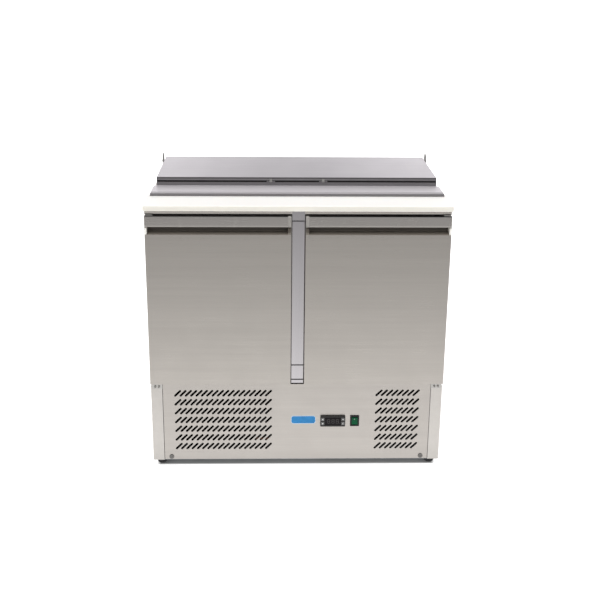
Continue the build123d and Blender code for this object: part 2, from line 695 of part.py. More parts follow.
def axial_fan(x, y, z, radius, hub, bore, blades):
    """Axial fan: cup hub and pitched blades, turning about Y."""
    fan = rod_y(x, y - FAN_DEPTH / 2, y + FAN_DEPTH / 2, z, hub)
    for i in range(blades):
        blade = Pos((radius + hub) / 2 - 2, 0, 0) * Rot(BLADE_PITCH, 0, 0)
        blade *= Box(radius - hub, hub * 1.1, BLADE_T)
        fan += Pos(x, y, z) * Rot(90, 0, 0) * Rot(0, 0, 360 / blades * i) * blade
    limit = rod_y(x, y - 40, y + 40, z, radius)
    return (fan & limit) - rod_y(x, y - 40, y + 40, z, bore)


# ---- machine space ----------------------------------------------------------------------------
def compressor():
    """Hermetic compressor on its foot plate, with rubber mounts."""
    x, y, r = COMPRESSOR_X, COMPRESSOR_Y, COMPRESSOR_R
    low, high = COMPRESSOR_Z
    reach_x, reach_y = COMPRESSOR_FEET
    shell = rod_z(x, y, low, high, r)
    shell = fillet(shell.edges().group_by(Axis.Z)[-1], 34)
    shell = fillet(shell.edges().group_by(Axis.Z)[0], 18)
    shell += rod_z(x, y, 110, 116, r + 2)
    plate = block(x - reach_x - 15, x + reach_x + 15, y - reach_y - 15, y + reach_y + 15,
                  low - 6, low - 3)
    box = block(x + r - 8, x + r + 22, y - 30, y + 30, 90, 150)
    shape = shell + rod_z(x, y, low - 4, low + 5, 50) + plate + box
    for dx in (-reach_x, reach_x):
        for dy in (-reach_y, reach_y):
            shape += rod_z(x + dx, y + dy, FOOT_H + 2, low + 2, 10)
    return shape


def condenser_coil():
    """Finned condenser behind the grille, with return bends at one end."""
    coil = block(*COIL_X, *COIL_Y, *COIL_Z)
    for row in range(7):
        coil += rod_x(COIL_X[0] - BEND_REACH, COIL_X[1] + BEND_REACH, PIPE_Y,
                      LOW_RUN_Z + 29 * row, TUBE_R)
    return coil


def condenser_shroud():
    """Plate and ring round the condenser fan."""
    face = COIL_Y[1]
    plate = block(*COIL_X, face, face + 1.5, COIL_Z[0] - 15, COIL_Z[1] + 5)
    plate += rod_y(FAN_X, face, FAN_Y + 10, FAN_Z, FAN_R + 6)
    return plate - rod_y(FAN_X, face - 2, FAN_Y + 12, FAN_Z, FAN_R + 4)


def pipe(points, bend, radius):
    """Copper pipe along straight runs with round bends."""
    path = FilletPolyline(*points, radius=bend)
    section = Plane(origin=path @ 0, z_dir=path % 0) * Circle(radius)
    return sweep(section, path=path)


def refrigerant_pipes():
    """Discharge, liquid and suction pipes, and the filter drier."""
    x, y = COMPRESSOR_X, COMPRESSOR_Y
    top = COMPRESSOR_Z[1]
    coil_end = COIL_X[1] + 9
    riser_x = 20.0
    front_y = -220.0
    side_z = 150.0
    drier_y = 180.0
    drier_x = (-160.0, -60.0)
    back_y = 230.0
    discharge = pipe(((x - 80, y, side_z), (riser_x, y, side_z), (riser_x, front_y, side_z),
                      (riser_x, front_y, HIGH_RUN_Z), (riser_x, PIPE_Y, HIGH_RUN_Z),
                      (coil_end, PIPE_Y, HIGH_RUN_Z)), 18, PIPE_R)
    liquid = pipe(((coil_end, PIPE_Y, LOW_RUN_Z), (riser_x + 20, PIPE_Y, LOW_RUN_Z),
                   (riser_x + 20, drier_y, LOW_RUN_Z), (drier_x[1], drier_y, LOW_RUN_Z)),
                  20, PIPE_R)
    drier = rod_x(*drier_x, drier_y, LOW_RUN_Z, DRIER_R)
    suction = pipe(((x, y, top), (x, y, top + 50), (x, back_y, top + 50),
                    (-riser_x, back_y, top + 50), (-riser_x, back_y, top + 82)), 18, SUCTION_R)
    return [discharge, liquid, fillet(drier.edges(), 4), suction]


def condensate_tray():
    """Evaporating tray for melt water, on the base."""
    tray = block(*TRAY_X, *TRAY_Y, FOOT_H + 2, TRAY_TOP)
    return tray - block(TRAY_X[0] + 2, TRAY_X[1] - 2, TRAY_Y[0] + 2, TRAY_Y[1] - 2,
                        FOOT_H + 4, TRAY_TOP + 1)


# ---- controls ----------------------------------------------------------------------------------
BUTTON_OFFSETS = ((-31.5, 7.0), (-31.5, -7.0), (31.5, 7.0), (31.5, -7.0))


def controller_housing():
    """Digital thermostat: bezel, window recess, button wells and body."""
    x, z = CONTROL_X, CONTROL_Z
    half_w, half_h = BEZEL_W / 2, BEZEL_H / 2
    bezel = block(x - half_w, x + half_w, FRONT - BEZEL_T, FRONT, z - half_h, z + half_h)
    bezel = fillet(bezel.edges().filter_by(Axis.Y), 3)
    bezel = fillet(bezel.edges().group_by(Axis.Y)[0], 1.5)
    view_w, view_h = WINDOW[0] / 2, WINDOW[1] / 2
    bezel -= block(x - view_w, x + view_w, FRONT - BEZEL_T - 2, FRONT - BEZEL_T + 1.5,
                   z - view_h, z + view_h)
    body = block(x - 35, x + 35, FRONT, FRONT + 55, z - 14, z + 14)
    shape = bezel + body
    well = KEY_WELL / 2
    for dx, dz in BUTTON_OFFSETS:
        shape -= block(x + dx - well, x + dx + well, FRONT - BEZEL_T - 2, FRONT - 2,
                       z + dz - well, z + dz + well)
    return shape


def controller_button(index):
    """One square push button of the thermostat."""
    dx, dz = BUTTON_OFFSETS[index]
    x, z = CONTROL_X + dx, CONTROL_Z + dz
    face = FRONT - BEZEL_T - 1.2
    key = block(x - KEY / 2, x + KEY / 2, face, face + 4, z - KEY / 2, z + KEY / 2)
    return fillet(key.faces().sort_by(Axis.Y)[0].edges(), 0.8)


def switch_housing():
    """Bezel and body of the main switch, open at the front."""
    x, z = SWITCH_X, CONTROL_Z
    half_w, half_h = SWITCH_W / 2, BEZEL_H / 2
    bezel = block(x - half_w, x + half_w, FRONT - 3, FRONT, z - half_h, z + half_h)
    bezel = fillet(bezel.edges().filter_by(Axis.Y), 2)
    bezel = fillet(bezel.edges().group_by(Axis.Y)[0], 1)
    body = block(x - 11, x + 11, FRONT, FRONT + 22, z - 15, z + 15)
    mouth_w = ROCKER_W / 2 + 0.5
    mouth = block(x - mouth_w, x + mouth_w, FRONT - 4, FRONT + 14, z - 14, z + 14)
    pivot = rod_x(x - mouth_w - 1, x + mouth_w + 1, FRONT + 3, z, ROCKER_PIN_R)
    return bezel + body - mouth + pivot


def switch_rocker():
    """Green rocker key on its cross pin, tipped to its first position."""
    half_h = 12.0
    x, y, z = SWITCH_X, FRONT + 3, CONTROL_Z
    outline = ((y - 9.0, z + half_h), (y - 5.0, z), (y - 6.2, z - half_h),
               (y + 1.0, z - half_h + 1), (y + 6.0, z), (y - 1.0, z + half_h - 1))
    key = along_x(outline, x - ROCKER_W / 2, x + ROCKER_W / 2)
    return key - rod_x(x - ROCKER_W, x + ROCKER_W, y, z, ROCKER_PIN_R + RUN_FIT)


def cable_gland():
    """Gland where the supply lead enters the rear panel."""
    x, z = GLAND_X, GLAND_Z
    gland = rod_y(x, REAR - 12, OVERALL_REAR, z, 7.9)
    gland += rod_y(x, REAR, REAR + 3, z, 11)
    return gland - rod_y(x, REAR - 14, OVERALL_REAR + 1, z, GLAND_BORE_R)


def main():
    os.makedirs("parts", exist_ok=True)
    left = side_panel()
    save("left_side_panel", left)
    save("right_side_panel", mirrored(left))
    for build in (back_panel, rear_vent_panel, base_plates, foam_insulation, inner_liner,
                  face_frame, mullion_top_cap, mullion_strips, grille_panel, front_screws,
                  feet, worktop, pan_surround, pan_support_bars, cutting_board,
                  door_hinge_brackets, hinge_pins, lid_hinge_brackets, lid_rear_panel,
                  lid_liner, lid_seal, lid_front_flap, flap_hinges, shelf_runners,
                  evaporator_coil, evaporator_cover, fan_motors, compressor,
                  condenser_coil, condenser_shroud, refrigerant_pipes, condensate_tray,
                  controller_housing, switch_housing, switch_rocker, cable_gland):
        save(build.__name__, build())
    save("food_pans", [food_pan(x) for x in (-PAN_PITCH, 0, PAN_PITCH)])
    save("wire_shelves", [wire_shelf(side) for side in (-1, 1)])
    for build in (door_skin, door_liner, door_foam, door_gasket, handle_profile,
                  grip_channel, door_bushes):
        piece = build()
        pieces = piece if isinstance(piece, list) else [piece]
        save("left_" + build.__name__, pieces)
        save("right_" + build.__name__, [mirrored(item) for item in pieces])
    save("condenser_fan", axial_fan(FAN_X, FAN_Y, FAN_Z, FAN_R, 24, 4 + RUN_FIT, 5))
    save("evaporator_fan", axial_fan(0, COLD_FAN_Y, COLD_FAN_Z, COLD_FAN_R, 16, 3 + RUN_FIT, 5))
    for index in range(len(BUTTON_OFFSETS)):
        save(f"controller_button_{index + 1}", controller_button(index))


main()
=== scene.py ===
import random
from math import cos, pi, radians, sin

import bmesh
import bpy
from mathutils import Matrix, Vector


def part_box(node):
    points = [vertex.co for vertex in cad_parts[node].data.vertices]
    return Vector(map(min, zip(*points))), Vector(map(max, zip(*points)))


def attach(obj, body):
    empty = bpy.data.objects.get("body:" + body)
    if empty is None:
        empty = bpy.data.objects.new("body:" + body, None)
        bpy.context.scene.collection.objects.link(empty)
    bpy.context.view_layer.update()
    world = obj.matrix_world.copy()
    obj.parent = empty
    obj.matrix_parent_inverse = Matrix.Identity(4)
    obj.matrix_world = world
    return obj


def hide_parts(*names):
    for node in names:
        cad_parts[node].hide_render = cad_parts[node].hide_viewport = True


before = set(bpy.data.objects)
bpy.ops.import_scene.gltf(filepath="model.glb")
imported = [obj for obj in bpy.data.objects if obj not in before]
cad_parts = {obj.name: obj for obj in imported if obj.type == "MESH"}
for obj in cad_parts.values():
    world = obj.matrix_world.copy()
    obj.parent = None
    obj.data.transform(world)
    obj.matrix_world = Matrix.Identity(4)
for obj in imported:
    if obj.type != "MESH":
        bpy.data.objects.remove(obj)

random.seed(900)
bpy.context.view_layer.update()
MM = 0.001
SIDES = {"left": -1, "right": 1}
LOW, HIGH = 0, 1          # ends of a box

# ---- camera, light and floor settings ----
FOCAL_LENGTH = 63.46      # mm, on a sensor 36 mm wide
CAMERA_PLACE = (-0.0837, -3.2974, 1.5632)
CAMERA_TURN = -1.74       # degrees, as are the next two
CAMERA_DOWN = 18.95
CAMERA_ROLL = 0.57
FAR = 500.0
FLOOR_SIZE = 150.0
ROOM_FRONT = 0.18         # strength of the room in reflections: in front, behind and overhead
ROOM_BACK = 0.66
ROOM_ABOVE = 0.42
FILL = 0.66               # strength of the white surround as a light, and as seen by the camera
SURROUND = 1.05
KEY_STRENGTH = 1.7
KEY_SPREAD = 70           # degrees
KEY_TURN = (24, -10, 0)
FLOOR_HALF = (0.424, 0.321)   # floor under the object that gets the full painted contact shadow, half width and depth
FLOOR_FALLOFF = 0.74      # how fast the floor's painted reflection glow dims away from the object
# strength of the floor's painted reflection glow, and its cap near the object
FLOOR_GAIN = 1.52
FLOOR_NEAR = 1.08
# strength of the painted glow that only the camera sees on the floor away from the object
FLOOR_GLOW = 0.66
CARD_LOW = 1.32           # reflector card: lower part, upper part, and what its ends add
CARD_HIGH = 0.72
CARD_ENDS = 0.38
CARD_Y = 0.95
CARD_CORNERS = ((-1.6, 0.86), (1.6, 2.2))


# ---- shader helpers ----
class Nodes:
    """A node tree, emptied, with short calls for the nodes used most."""

    def __init__(self, owner):
        owner.use_nodes = True
        self.tree = owner.node_tree
        self.tree.nodes.clear()

    def node(self, kind, **settings):
        """New shader node with the given settings."""
        made = self.tree.nodes.new("ShaderNode" + kind)
        for key, value in settings.items():
            setattr(made, key, value)
        return made

    def feed(self, socket, value):
        """Link an output to the socket, or set a constant on it."""
        if isinstance(value, bpy.types.NodeSocket):
            self.tree.links.new(value, socket)
        else:
            socket.default_value = value

    def coords(self, scale):
        """Coordinates in the piece's own space, scaled per axis."""
        mapping = self.node("Mapping")
        self.feed(mapping.inputs["Vector"], self.node("TexCoord").outputs["Object"])
        mapping.inputs["Scale"].default_value = scale if isinstance(scale, tuple) else (scale,) * 3
        return mapping.outputs[0]

    def noise(self, scale, detail=3.0, roughness=0.5):
        """Noise from 0 to 1, with one scale or a scale per axis, in features per metre."""
        made = self.node("TexNoise")
        made.inputs["Scale"].default_value = 1.0
        made.inputs["Detail"].default_value = detail
        made.inputs["Roughness"].default_value = roughness
        self.feed(made.inputs["Vector"], self.coords(scale))
        return made.outputs[0]

    def cells(self, per_metre, output="Color"):
        """Irregular cells, as a colour for each or the distance to its middle."""
        made = self.node("TexVoronoi")
        made.inputs["Scale"].default_value = per_metre
        self.feed(made.inputs["Vector"], self.coords(1))
        return made.outputs[output]

    def span(self, value, low, high, first, second, curve="LINEAR"):
        """Value from low..high mapped onto first..second."""
        made = self.node("MapRange", interpolation_type=curve)
        for index, item in enumerate((value, low, high, first, second)):
            self.feed(made.inputs[index], item)
        return made.outputs[0]

    def mix(self, factor, first, second):
        """Colour between first and second."""
        made = self.node("Mix", data_type="RGBA")
        self.feed(made.inputs[0], factor)
        for index, colour in ((6, first), (7, second)):
            self.feed(made.inputs[index], colour if not isinstance(colour, tuple) else (*colour, 1))
        return made.outputs[2]

    def math(self, operation, first, second=0.0):
        """Arithmetic on one or two values."""
        made = self.node("Math", operation=operation)
        self.feed(made.inputs[0], first)
        self.feed(made.inputs[1], second)
        return made.outputs[0]

    def bump(self, height, depth, strength=1.0, normal=None):
        """Normal tilted by a height map that is depth mm deep."""
        made = self.node("Bump")
        self.feed(made.inputs["Height"], height)
        made.inputs["Distance"].default_value = depth * MM
        made.inputs["Strength"].default_value = strength
        if normal is not None:
            self.feed(made.inputs["Normal"], normal)
        return made.outputs[0]

    def rounded(self, radius, wear=1.0):
        """Normal rounded over sharp edges by radius mm, and a mask that is wear on them."""
        bevel = self.node("Bevel", samples=4)
        bevel.inputs["Radius"].default_value = radius * MM
        dot = self.node("VectorMath", operation="DOT_PRODUCT")
        self.feed(dot.inputs[0], bevel.outputs[0])
        self.feed(dot.inputs[1], self.node("NewGeometry").outputs["Normal"])
        return bevel.outputs[0], self.span(dot.outputs["Value"], 0.995, 0.80, 0.0, wear)

    def axes(self):
        """X, Y and Z of the piece's own space."""
        split = self.node("SeparateXYZ")
        self.feed(split.inputs[0], self.node("TexCoord").outputs["Object"])
        return split.outputs

    def past(self, axis, start, stop):
        """Mask that rises from 0 to 1 between two levels along an axis."""
        return self.span(self.axes()["XYZ".index(axis)], start, stop, 0.0, 1.0)

    def tangent(self, direction):
        """Direction in the piece's own space, which turns with it."""
        made = self.node("CombineXYZ")
        for index, value in enumerate(direction):
            made.inputs[index].default_value = value
        turned = self.node("VectorTransform", vector_type="VECTOR")
        turned.convert_from = "OBJECT"
        turned.convert_to = "WORLD"
        self.feed(turned.inputs[0], made.outputs[0])
        return turned.outputs[0]


class Shader(Nodes):
    """A new material with a Principled shader."""

    def __init__(self, name):
        self.material = bpy.data.materials.new(name)
        super().__init__(self.material)
        self.bsdf = self.node("BsdfPrincipled")
        self.feed(self.node("OutputMaterial").inputs[0], self.bsdf.outputs[0])

    def set(self, **values):
        """Set Principled inputs by name, with _ for a space, and return the material."""
        for key, value in values.items():
            self.feed(self.bsdf.inputs[key.replace("_", " ")], value)
        return self.material


def tint(colour, gain):
    """Colour made lighter or darker."""
    return tuple(min(1.0, channel * gain) for channel in colour)


def ramp(node, end, axis, start, stop):
    """Ramp along an axis, from start to stop mm past the low or high end of a CAD node."""
    level = getattr(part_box(node)[end], axis.lower())
    return axis, level + start * MM, level + stop * MM


def along(axis, slow, fast):
    """Texture scale that is slow along the grain and fast across it."""
    return tuple(slow if name == axis else fast for name in "XYZ")


# ---- materials ----
def brushed_steel(name, colour, axis, stretch, roughness=0.30, anisotropy=0.65, grain=1.0,
                  wear=0.3, edge_radius=0.35, metallic=1.0, painted_light_zones=()):
    """Brushed sheet: hairlines, faint streaks and blotches, finger marks, bright worn edges.

    Each painted-light zone is (gain, ramp, ...): where all its ramps reach 1, the steel's colour is
    multiplied by gain, as painted shade below 1 and painted light above 1.
    """
    s = Shader(name)
    hair = s.noise(along(axis, 9, 1900), detail=4, roughness=0.65)
    streak = s.noise(along(axis, 1.1, 70), detail=3)
    patch = s.noise(2.2, detail=2)
    smudge = s.noise(14, detail=5, roughness=0.62)
    normal, edge = s.rounded(edge_radius, wear)
    base = s.mix(s.span(streak, 0.3, 0.7, 0, 1), tint(colour, 0.965), tint(colour, 1.03))
    base = s.mix(s.span(hair, 0.3, 0.7, 0, 0.5 * grain), base, tint(colour, 0.86))
    rosy = (colour[0], colour[1] * 0.985, colour[2] * 0.99)
    base = s.mix(s.span(patch, 0.35, 0.7, 0, 0.25), base, rosy)
    base = s.mix(edge, base, tint(colour, 1.35))
    # painted light and shade: each zone multiplies the colour by its gain where all its ramps reach 1
    for gain, *ramps in painted_light_zones:
        mask = 1.0
        for levels in ramps:
            mask = s.math("MULTIPLY", s.past(*levels), mask)
        base = s.mix(mask, base, tint(colour, gain))
    rough = s.span(hair, 0.2, 0.8, roughness - 0.05 * grain, roughness + 0.06 * grain)
    rough = s.math("ADD", rough, s.span(smudge, 0.35, 0.75, -0.012, 0.03))
    s.set(Base_Color=base, Roughness=rough, Metallic=metallic, Anisotropic=anisotropy)
    s.set(Tangent=s.tangent(stretch))
    return s.set(Normal=s.bump(hair, 0.012 * grain, 0.6, normal))


def liner_steel(name, colour):
    """Smooth-rolled lining sheet with a soft pebble and wiping marks."""
    s = Shader(name)
    cloud = s.noise(7, detail=5)
    pebble = s.noise(420, detail=2)
    swirl = s.noise((60, 25, 60), detail=6, roughness=0.7)
    normal, edge = s.rounded(0.8, 0.4)
    base = s.mix(cloud, tint(colour, 0.93), tint(colour, 1.05))
    base = s.mix(edge, base, (0.92, 0.92, 0.92))
    s.set(Base_Color=base, Metallic=0.82, Roughness=s.span(swirl, 0.3, 0.7, 0.30, 0.37))
    return s.set(Normal=s.bump(pebble, 0.02, 0.5, normal))


def galvanised_sheet():
    """Zinc spangle with dull patches."""
    s = Shader("galvanised_sheet")
    spangle = s.cells(70)
    dull = s.noise(9, detail=4)
    normal, edge = s.rounded(0.6, 0.5)
    base = s.mix(s.span(spangle, 0.1, 0.9, 0, 1), (0.40, 0.42, 0.44), (0.66, 0.68, 0.70))
    base = s.mix(s.span(dull, 0.45, 0.7, 0, 0.5), base, (0.46, 0.47, 0.47))
    base = s.mix(edge, base, (0.78, 0.79, 0.80))
    s.set(Base_Color=base, Metallic=0.85, Roughness=s.span(spangle, 0, 1, 0.34, 0.56))
    return s.set(Normal=s.bump(spangle, 0.02, 0.4, normal))


def plain_metal(name, colour, roughness, marks=60, metallic=1.0, upper=None):
    """Turned or drawn metal with fine scratches and tarnish.

    upper, when given, is the colour of the pieces that sit higher than 0.2 m.
    """
    s = Shader(name)
    scratch = s.noise((marks, marks * 18, marks), detail=5, roughness=0.7)
    tarnish = s.noise(26, detail=4)
    normal, edge = s.rounded(0.35, 0.4)
    base = s.mix(s.span(tarnish, 0.4, 0.75, 0, 0.6), colour, tint(colour, 0.72))
    if upper is not None:
        base = s.mix(s.past("Z", 0.19, 0.20), base, upper)
    base = s.mix(edge, base, tint(colour, 1.35))
    s.set(Base_Color=base, Metallic=metallic)
    s.set(Roughness=s.span(scratch, 0.25, 0.75, roughness - 0.06, roughness + 0.10))
    return s.set(Normal=s.bump(scratch, 0.01, 0.5, normal))


def cutting_plastic():
    """White polyethylene: milled skin, faint knife lines, slightly waxy; a painted shade on its front edge.
    """
    s = Shader("cutting_plastic")
    grain = s.noise(260, detail=3)
    knife = s.noise((45, 4, 45), detail=6, roughness=0.75)
    cloud = s.noise(5, detail=3)
    normal = s.rounded(1.0)[0]
    base = s.mix(cloud, (0.90, 0.885, 0.855), (0.945, 0.93, 0.905))
    base = s.mix(s.span(knife, 0.62, 0.72, 0, 0.25), base, (0.83, 0.81, 0.77))
    # painted shade: the board's front edge is darker and warmer than its top
    base = s.mix(s.past(*ramp("cutting_board", LOW, "Y", 1.2, 0.4)), base, (0.88, 0.85, 0.775))
    height = s.math("ADD", grain, s.span(knife, 0.62, 0.70, 0, -2.0))
    s.set(Base_Color=base, Roughness=s.span(grain, 0.3, 0.7, 0.42, 0.55))
    s.set(Subsurface_Weight=0.08, Subsurface_Radius=(0.006, 0.005, 0.004), Subsurface_Scale=0.5)
    return s.set(Normal=s.bump(height, 0.03, 0.5, normal))


def moulded_plastic(name, colour, roughness=0.42, stipple=1400, radius=0.4, wear=0.25, gloss=0.5):
    """Injection-moulded plastic: spark-eroded stipple, soft edges, rubbed corners."""
    s = Shader(name)
    texture = s.noise(stipple, detail=2)
    cloud = s.noise(18, detail=4)
    normal, edge = s.rounded(radius, wear)
    base = s.mix(s.span(cloud, 0.35, 0.7, 0, 1), tint(colour, 0.88), tint(colour, 1.12))
    base = s.mix(edge, base, tuple(c * 0.7 + 0.12 for c in colour))
    s.set(Base_Color=base, Roughness=s.span(texture, 0.2, 0.8, roughness - 0.07, roughness + 0.08))
    s.set(Specular_IOR_Level=gloss)
    return s.set(Normal=s.bump(texture, 0.02, 0.6, normal))


def channel_plastic():
    """Grip moulding: cream at the door's outer end, grey in front, in shade inside the recess."""
    s = Shader("channel_plastic")
    texture = s.noise(1400, detail=2)
    depth = s.past(*ramp("left_handle_profile", LOW, "Z", -14, -22))
    shaded = s.mix(depth, (0.085, 0.072, 0.058), (0.27, 0.24, 0.205))
    front = s.past(*ramp("left_handle_profile", LOW, "Z", 0, 0.4))
    base = s.mix(front, shaded, (0.30, 0.285, 0.265))
    _, start, stop = ramp("right_door_skin", HIGH, "X", -6.2, -5.8)
    outer = s.span(s.math("ABSOLUTE", s.axes()[0]), start, stop, 0.0, 1.0)
    base = s.mix(outer, base, (0.90, 0.88, 0.83))
    s.set(Base_Color=base, Roughness=s.span(texture, 0.2, 0.8, 0.34, 0.48))
    return s.set(Normal=s.bump(texture, 0.02, 0.6, s.rounded(0.4)[0]))


def seal_rubber(name, dark, dusty):
    """Matte extruded rubber with draw lines and a bloom of dust."""
    s = Shader(name)
    lines = s.noise((40, 900, 900), detail=2)
    bloom = s.noise(30, detail=5)
    base = s.mix(s.span(bloom, 0.5, 0.75, 0, 0.5), dark, dusty)
    s.set(Base_Color=base, Roughness=s.span(bloom, 0.3, 0.7, 0.62, 0.8), Specular_IOR_Level=0.3)
    return s.set(Normal=s.bump(lines, 0.03, 0.6))


def rigid_foam():
    """Cut polyurethane foam with open cells."""
    s = Shader("rigid_foam")
    cell = s.cells(420, "Distance")
    cloud = s.noise(11, detail=3)
    base = s.mix(cloud, (0.74, 0.62, 0.36), (0.84, 0.75, 0.50))
    base = s.mix(s.span(cell, 0.0, 0.5, 0.6, 0), base, (0.50, 0.38, 0.20))
    s.set(Base_Color=base, Roughness=0.95)
    return s.set(Normal=s.bump(cell, 0.5, 0.8))


def lit_lens(name, colour, roughness=0.12, gloss=0.3):
    """Tinted clear plastic over a dark body, with moulding swirls."""
    s = Shader(name)
    swirl = s.noise((120, 40, 120), detail=4)
    normal, edge = s.rounded(0.5, 0.35)
    base = s.mix(swirl, tint(colour, 0.75), tint(colour, 1.2))
    base = s.mix(edge, base, tuple(c * 0.6 + 0.2 for c in colour))
    s.set(Base_Color=base, Roughness=s.span(swirl, 0, 1, roughness, roughness + 0.1))
    s.set(Specular_IOR_Level=gloss)
    return s.set(Normal=s.bump(swirl, 0.01, 0.5, normal))


def finned_metal(name, colour):
    """Thin aluminium fins, with dust caught between them."""
    s = Shader(name)
    dust = s.noise(35, detail=5)
    comb = s.noise((6, 900, 900), detail=2)
    base = s.mix(s.span(dust, 0.45, 0.75, 0, 0.55), colour, tint(colour, 0.6))
    s.set(Base_Color=base, Metallic=0.9, Roughness=s.span(dust, 0.3, 0.7, 0.35, 0.6))
    return s.set(Normal=s.bump(comb, 0.02, 0.5))


def enamel(name, colour):
    """Baked enamel with orange peel and chips at its edges."""
    s = Shader(name)
    peel = s.noise(260, detail=1)
    chip = s.noise(160, detail=4)
    normal, edge = s.rounded(0.8)
    chipped = s.math("MULTIPLY", edge, s.span(chip, 0.52, 0.6, 0, 1))
    base = s.mix(chipped, s.mix(peel, tint(colour, 0.85), tint(colour, 1.15)), (0.32, 0.31, 0.30))
    s.set(Base_Color=base, Roughness=s.span(peel, 0.2, 0.8, 0.22, 0.34), Coat_Weight=0.3)
    return s.set(Normal=s.bump(peel, 0.06, 0.5, normal))


def printed(name, colour, roughness=0.5):
    """Screen-printed ink or a plain label film, slightly uneven."""
    s = Shader(name)
    ink = s.noise(700, detail=3)
    cloud = s.noise(50, detail=2)
    base = s.mix(s.span(cloud, 0.3, 0.7, 0, 1), tint(colour, 0.93), tint(colour, 1.06))
    s.set(Base_Color=base, Roughness=s.span(ink, 0.3, 0.7, roughness - 0.06, roughness + 0.06))
    return s.set(Normal=s.bump(ink, 0.01, 0.4))


ACROSS_X = (0.0, 1.0, 1.0)
WARM = (0.646, 0.610, 0.570)
COOL = (0.640, 0.618, 0.640)
PANEL_STEEL = brushed_steel("panel_steel", WARM, "X", ACROSS_X)
# Worktop: painted light makes the front edge 1.45 times lighter, and painted shade makes the underside almost
# black, which shows as a dark gap in the doors' tops.
WORKTOP_STEEL = brushed_steel("worktop_steel", WARM, "X", ACROSS_X, roughness=0.22,
                              painted_light_zones=((1.45, ramp("worktop", LOW, "Y", 0.8, 0.4)),
                                     (0.03, ramp("worktop", LOW, "Z", 1.2, 0.8))))
# Handle: painted shade makes the top face almost black, standing in for the shadowed gap under the worktop,
# and darkens the lowest 4.4 mm to 0.6.
HANDLE_STEEL = brushed_steel("handle_steel", (0.620, 0.590, 0.565), "X", ACROSS_X, roughness=0.24,
                             painted_light_zones=((0.04, ramp("left_handle_profile", HIGH, "Z", -0.3, -0.1)),
                                    (0.60, ramp("left_handle_profile", LOW, "Z", 5.2, 4.4))))
BASE_STEEL = brushed_steel("base_steel", (0.660, 0.624, 0.588), "X", ACROSS_X, roughness=0.34,
                           wear=0.0, edge_radius=0.1)
# Lid: painted shade darkens the rear leaf's front face, most of all its top 5 mm and its part below the
# seal's top.
LID_FRONT = ramp("lid_rear_panel", LOW, "Y", 0.8, 0.4)
LID_STEEL = brushed_steel("lid_steel", COOL, "X", ACROSS_X, roughness=0.32,
                          painted_light_zones=((0.72, LID_FRONT),
                                 (0.34, LID_FRONT, ramp("lid_rear_panel", HIGH, "Z", -5.6, -5.0)),
                                 (0.30, LID_FRONT, ramp("lid_seal", HIGH, "Z", 2.6, 1.8))))
# Flap: painted shade darkens the riser above the flap top and the front lip face to 0.3, and the front bevel
# to 0.7.
FLAP_STEEL = brushed_steel("flap_steel", (0.74, 0.71, 0.735), "X", ACROSS_X, roughness=0.42, metallic=0.5,
                           painted_light_zones=((0.30, ramp("lid_front_flap", LOW, "Z", 12.6, 13.0)),
                                  (0.70, ramp("lid_front_flap", LOW, "Y", 6.0, 4.8)),
                                  (0.30, ramp("lid_front_flap", LOW, "Y", 1.0, 0.6))))
MULLION_STEEL = brushed_steel("mullion_steel", COOL, "Z", (1.0, 0.0, 0.0), roughness=0.22, grain=0.6)
SIDE_STEEL = brushed_steel("side_steel", (0.700, 0.672, 0.640), "Y", (1.0, 0.0, 1.0), roughness=0.32)
HARDWARE = brushed_steel("hardware_steel", (0.60, 0.59, 0.57), "Z", (1.0, 1.0, 0.0), 0.34, 0.2)
LINING = liner_steel("lining_steel", (0.66, 0.66, 0.655))
PAN_STEEL = liner_steel("pan_steel", (0.70, 0.69, 0.68))
GALVANISED = galvanised_sheet()
CHROME = plain_metal("shelf_chrome", (0.78, 0.78, 0.79), 0.14)
ZINC = plain_metal("zinc_screw", (0.62, 0.62, 0.61), 0.34)
COPPER = plain_metal("copper_tube", (0.72, 0.36, 0.22), 0.32)
RAW_ALUMINIUM = plain_metal("raw_aluminium", (0.72, 0.73, 0.74), 0.38)
BOARD = cutting_plastic()
FOAM = rigid_foam()
RUBBER = seal_rubber("seal_rubber", (0.035, 0.035, 0.038), (0.10, 0.10, 0.10))
# black rubber, made darker than rubber as painted shade in the gap between the lid's two leaves
SHADE_DARK_RUBBER = seal_rubber("lid_strip_rubber_painted_shade", (0.005, 0.004, 0.004), (0.012, 0.011, 0.010))
BLACK = moulded_plastic("black_plastic", (0.014, 0.014, 0.015), gloss=0.35)
KEY_GREY = moulded_plastic("key_grey_plastic", (0.15, 0.15, 0.15), 0.5)
BEZEL_GREY = moulded_plastic("bezel_grey_plastic", (0.026, 0.024, 0.023), 0.40, gloss=0.3)
FASTENER = plain_metal("dull_fastener", (0.30, 0.29, 0.28), 0.5, upper=(0.52, 0.50, 0.48))
CHANNEL = channel_plastic()
END_CREAM = moulded_plastic("end_block_plastic", (0.78, 0.75, 0.69), 0.4)
NYLON = moulded_plastic("nylon", (0.80, 0.78, 0.72), 0.45)
GREEN = lit_lens("green_lens", (0.003, 0.090, 0.036), gloss=0.14)
WINDOW = lit_lens("display_window", (0.008, 0.006, 0.007), 0.06, gloss=0.16)
FINS = finned_metal("aluminium_fins", (0.70, 0.71, 0.72))
# near-black fins as painted shade: the condenser coil is made this dark so it reads as the machine space's
# shade behind the grille
PAINTED_SHADE_FINS = finned_metal("painted_shade_fins", (0.055, 0.054, 0.052))
ENAMEL = enamel("black_enamel", (0.016, 0.016, 0.018))
WHITE_INK = printed("white_ink", (0.82, 0.82, 0.80))
DIM_SEGMENT = printed("unlit_segment", (0.045, 0.040, 0.040), 0.3)
LABEL_BLUE = printed("plain_label_film", (0.015, 0.215, 0.520), 0.35)
LABEL_RIM = printed("label_rim_film", (0.62, 0.74, 0.84), 0.4)


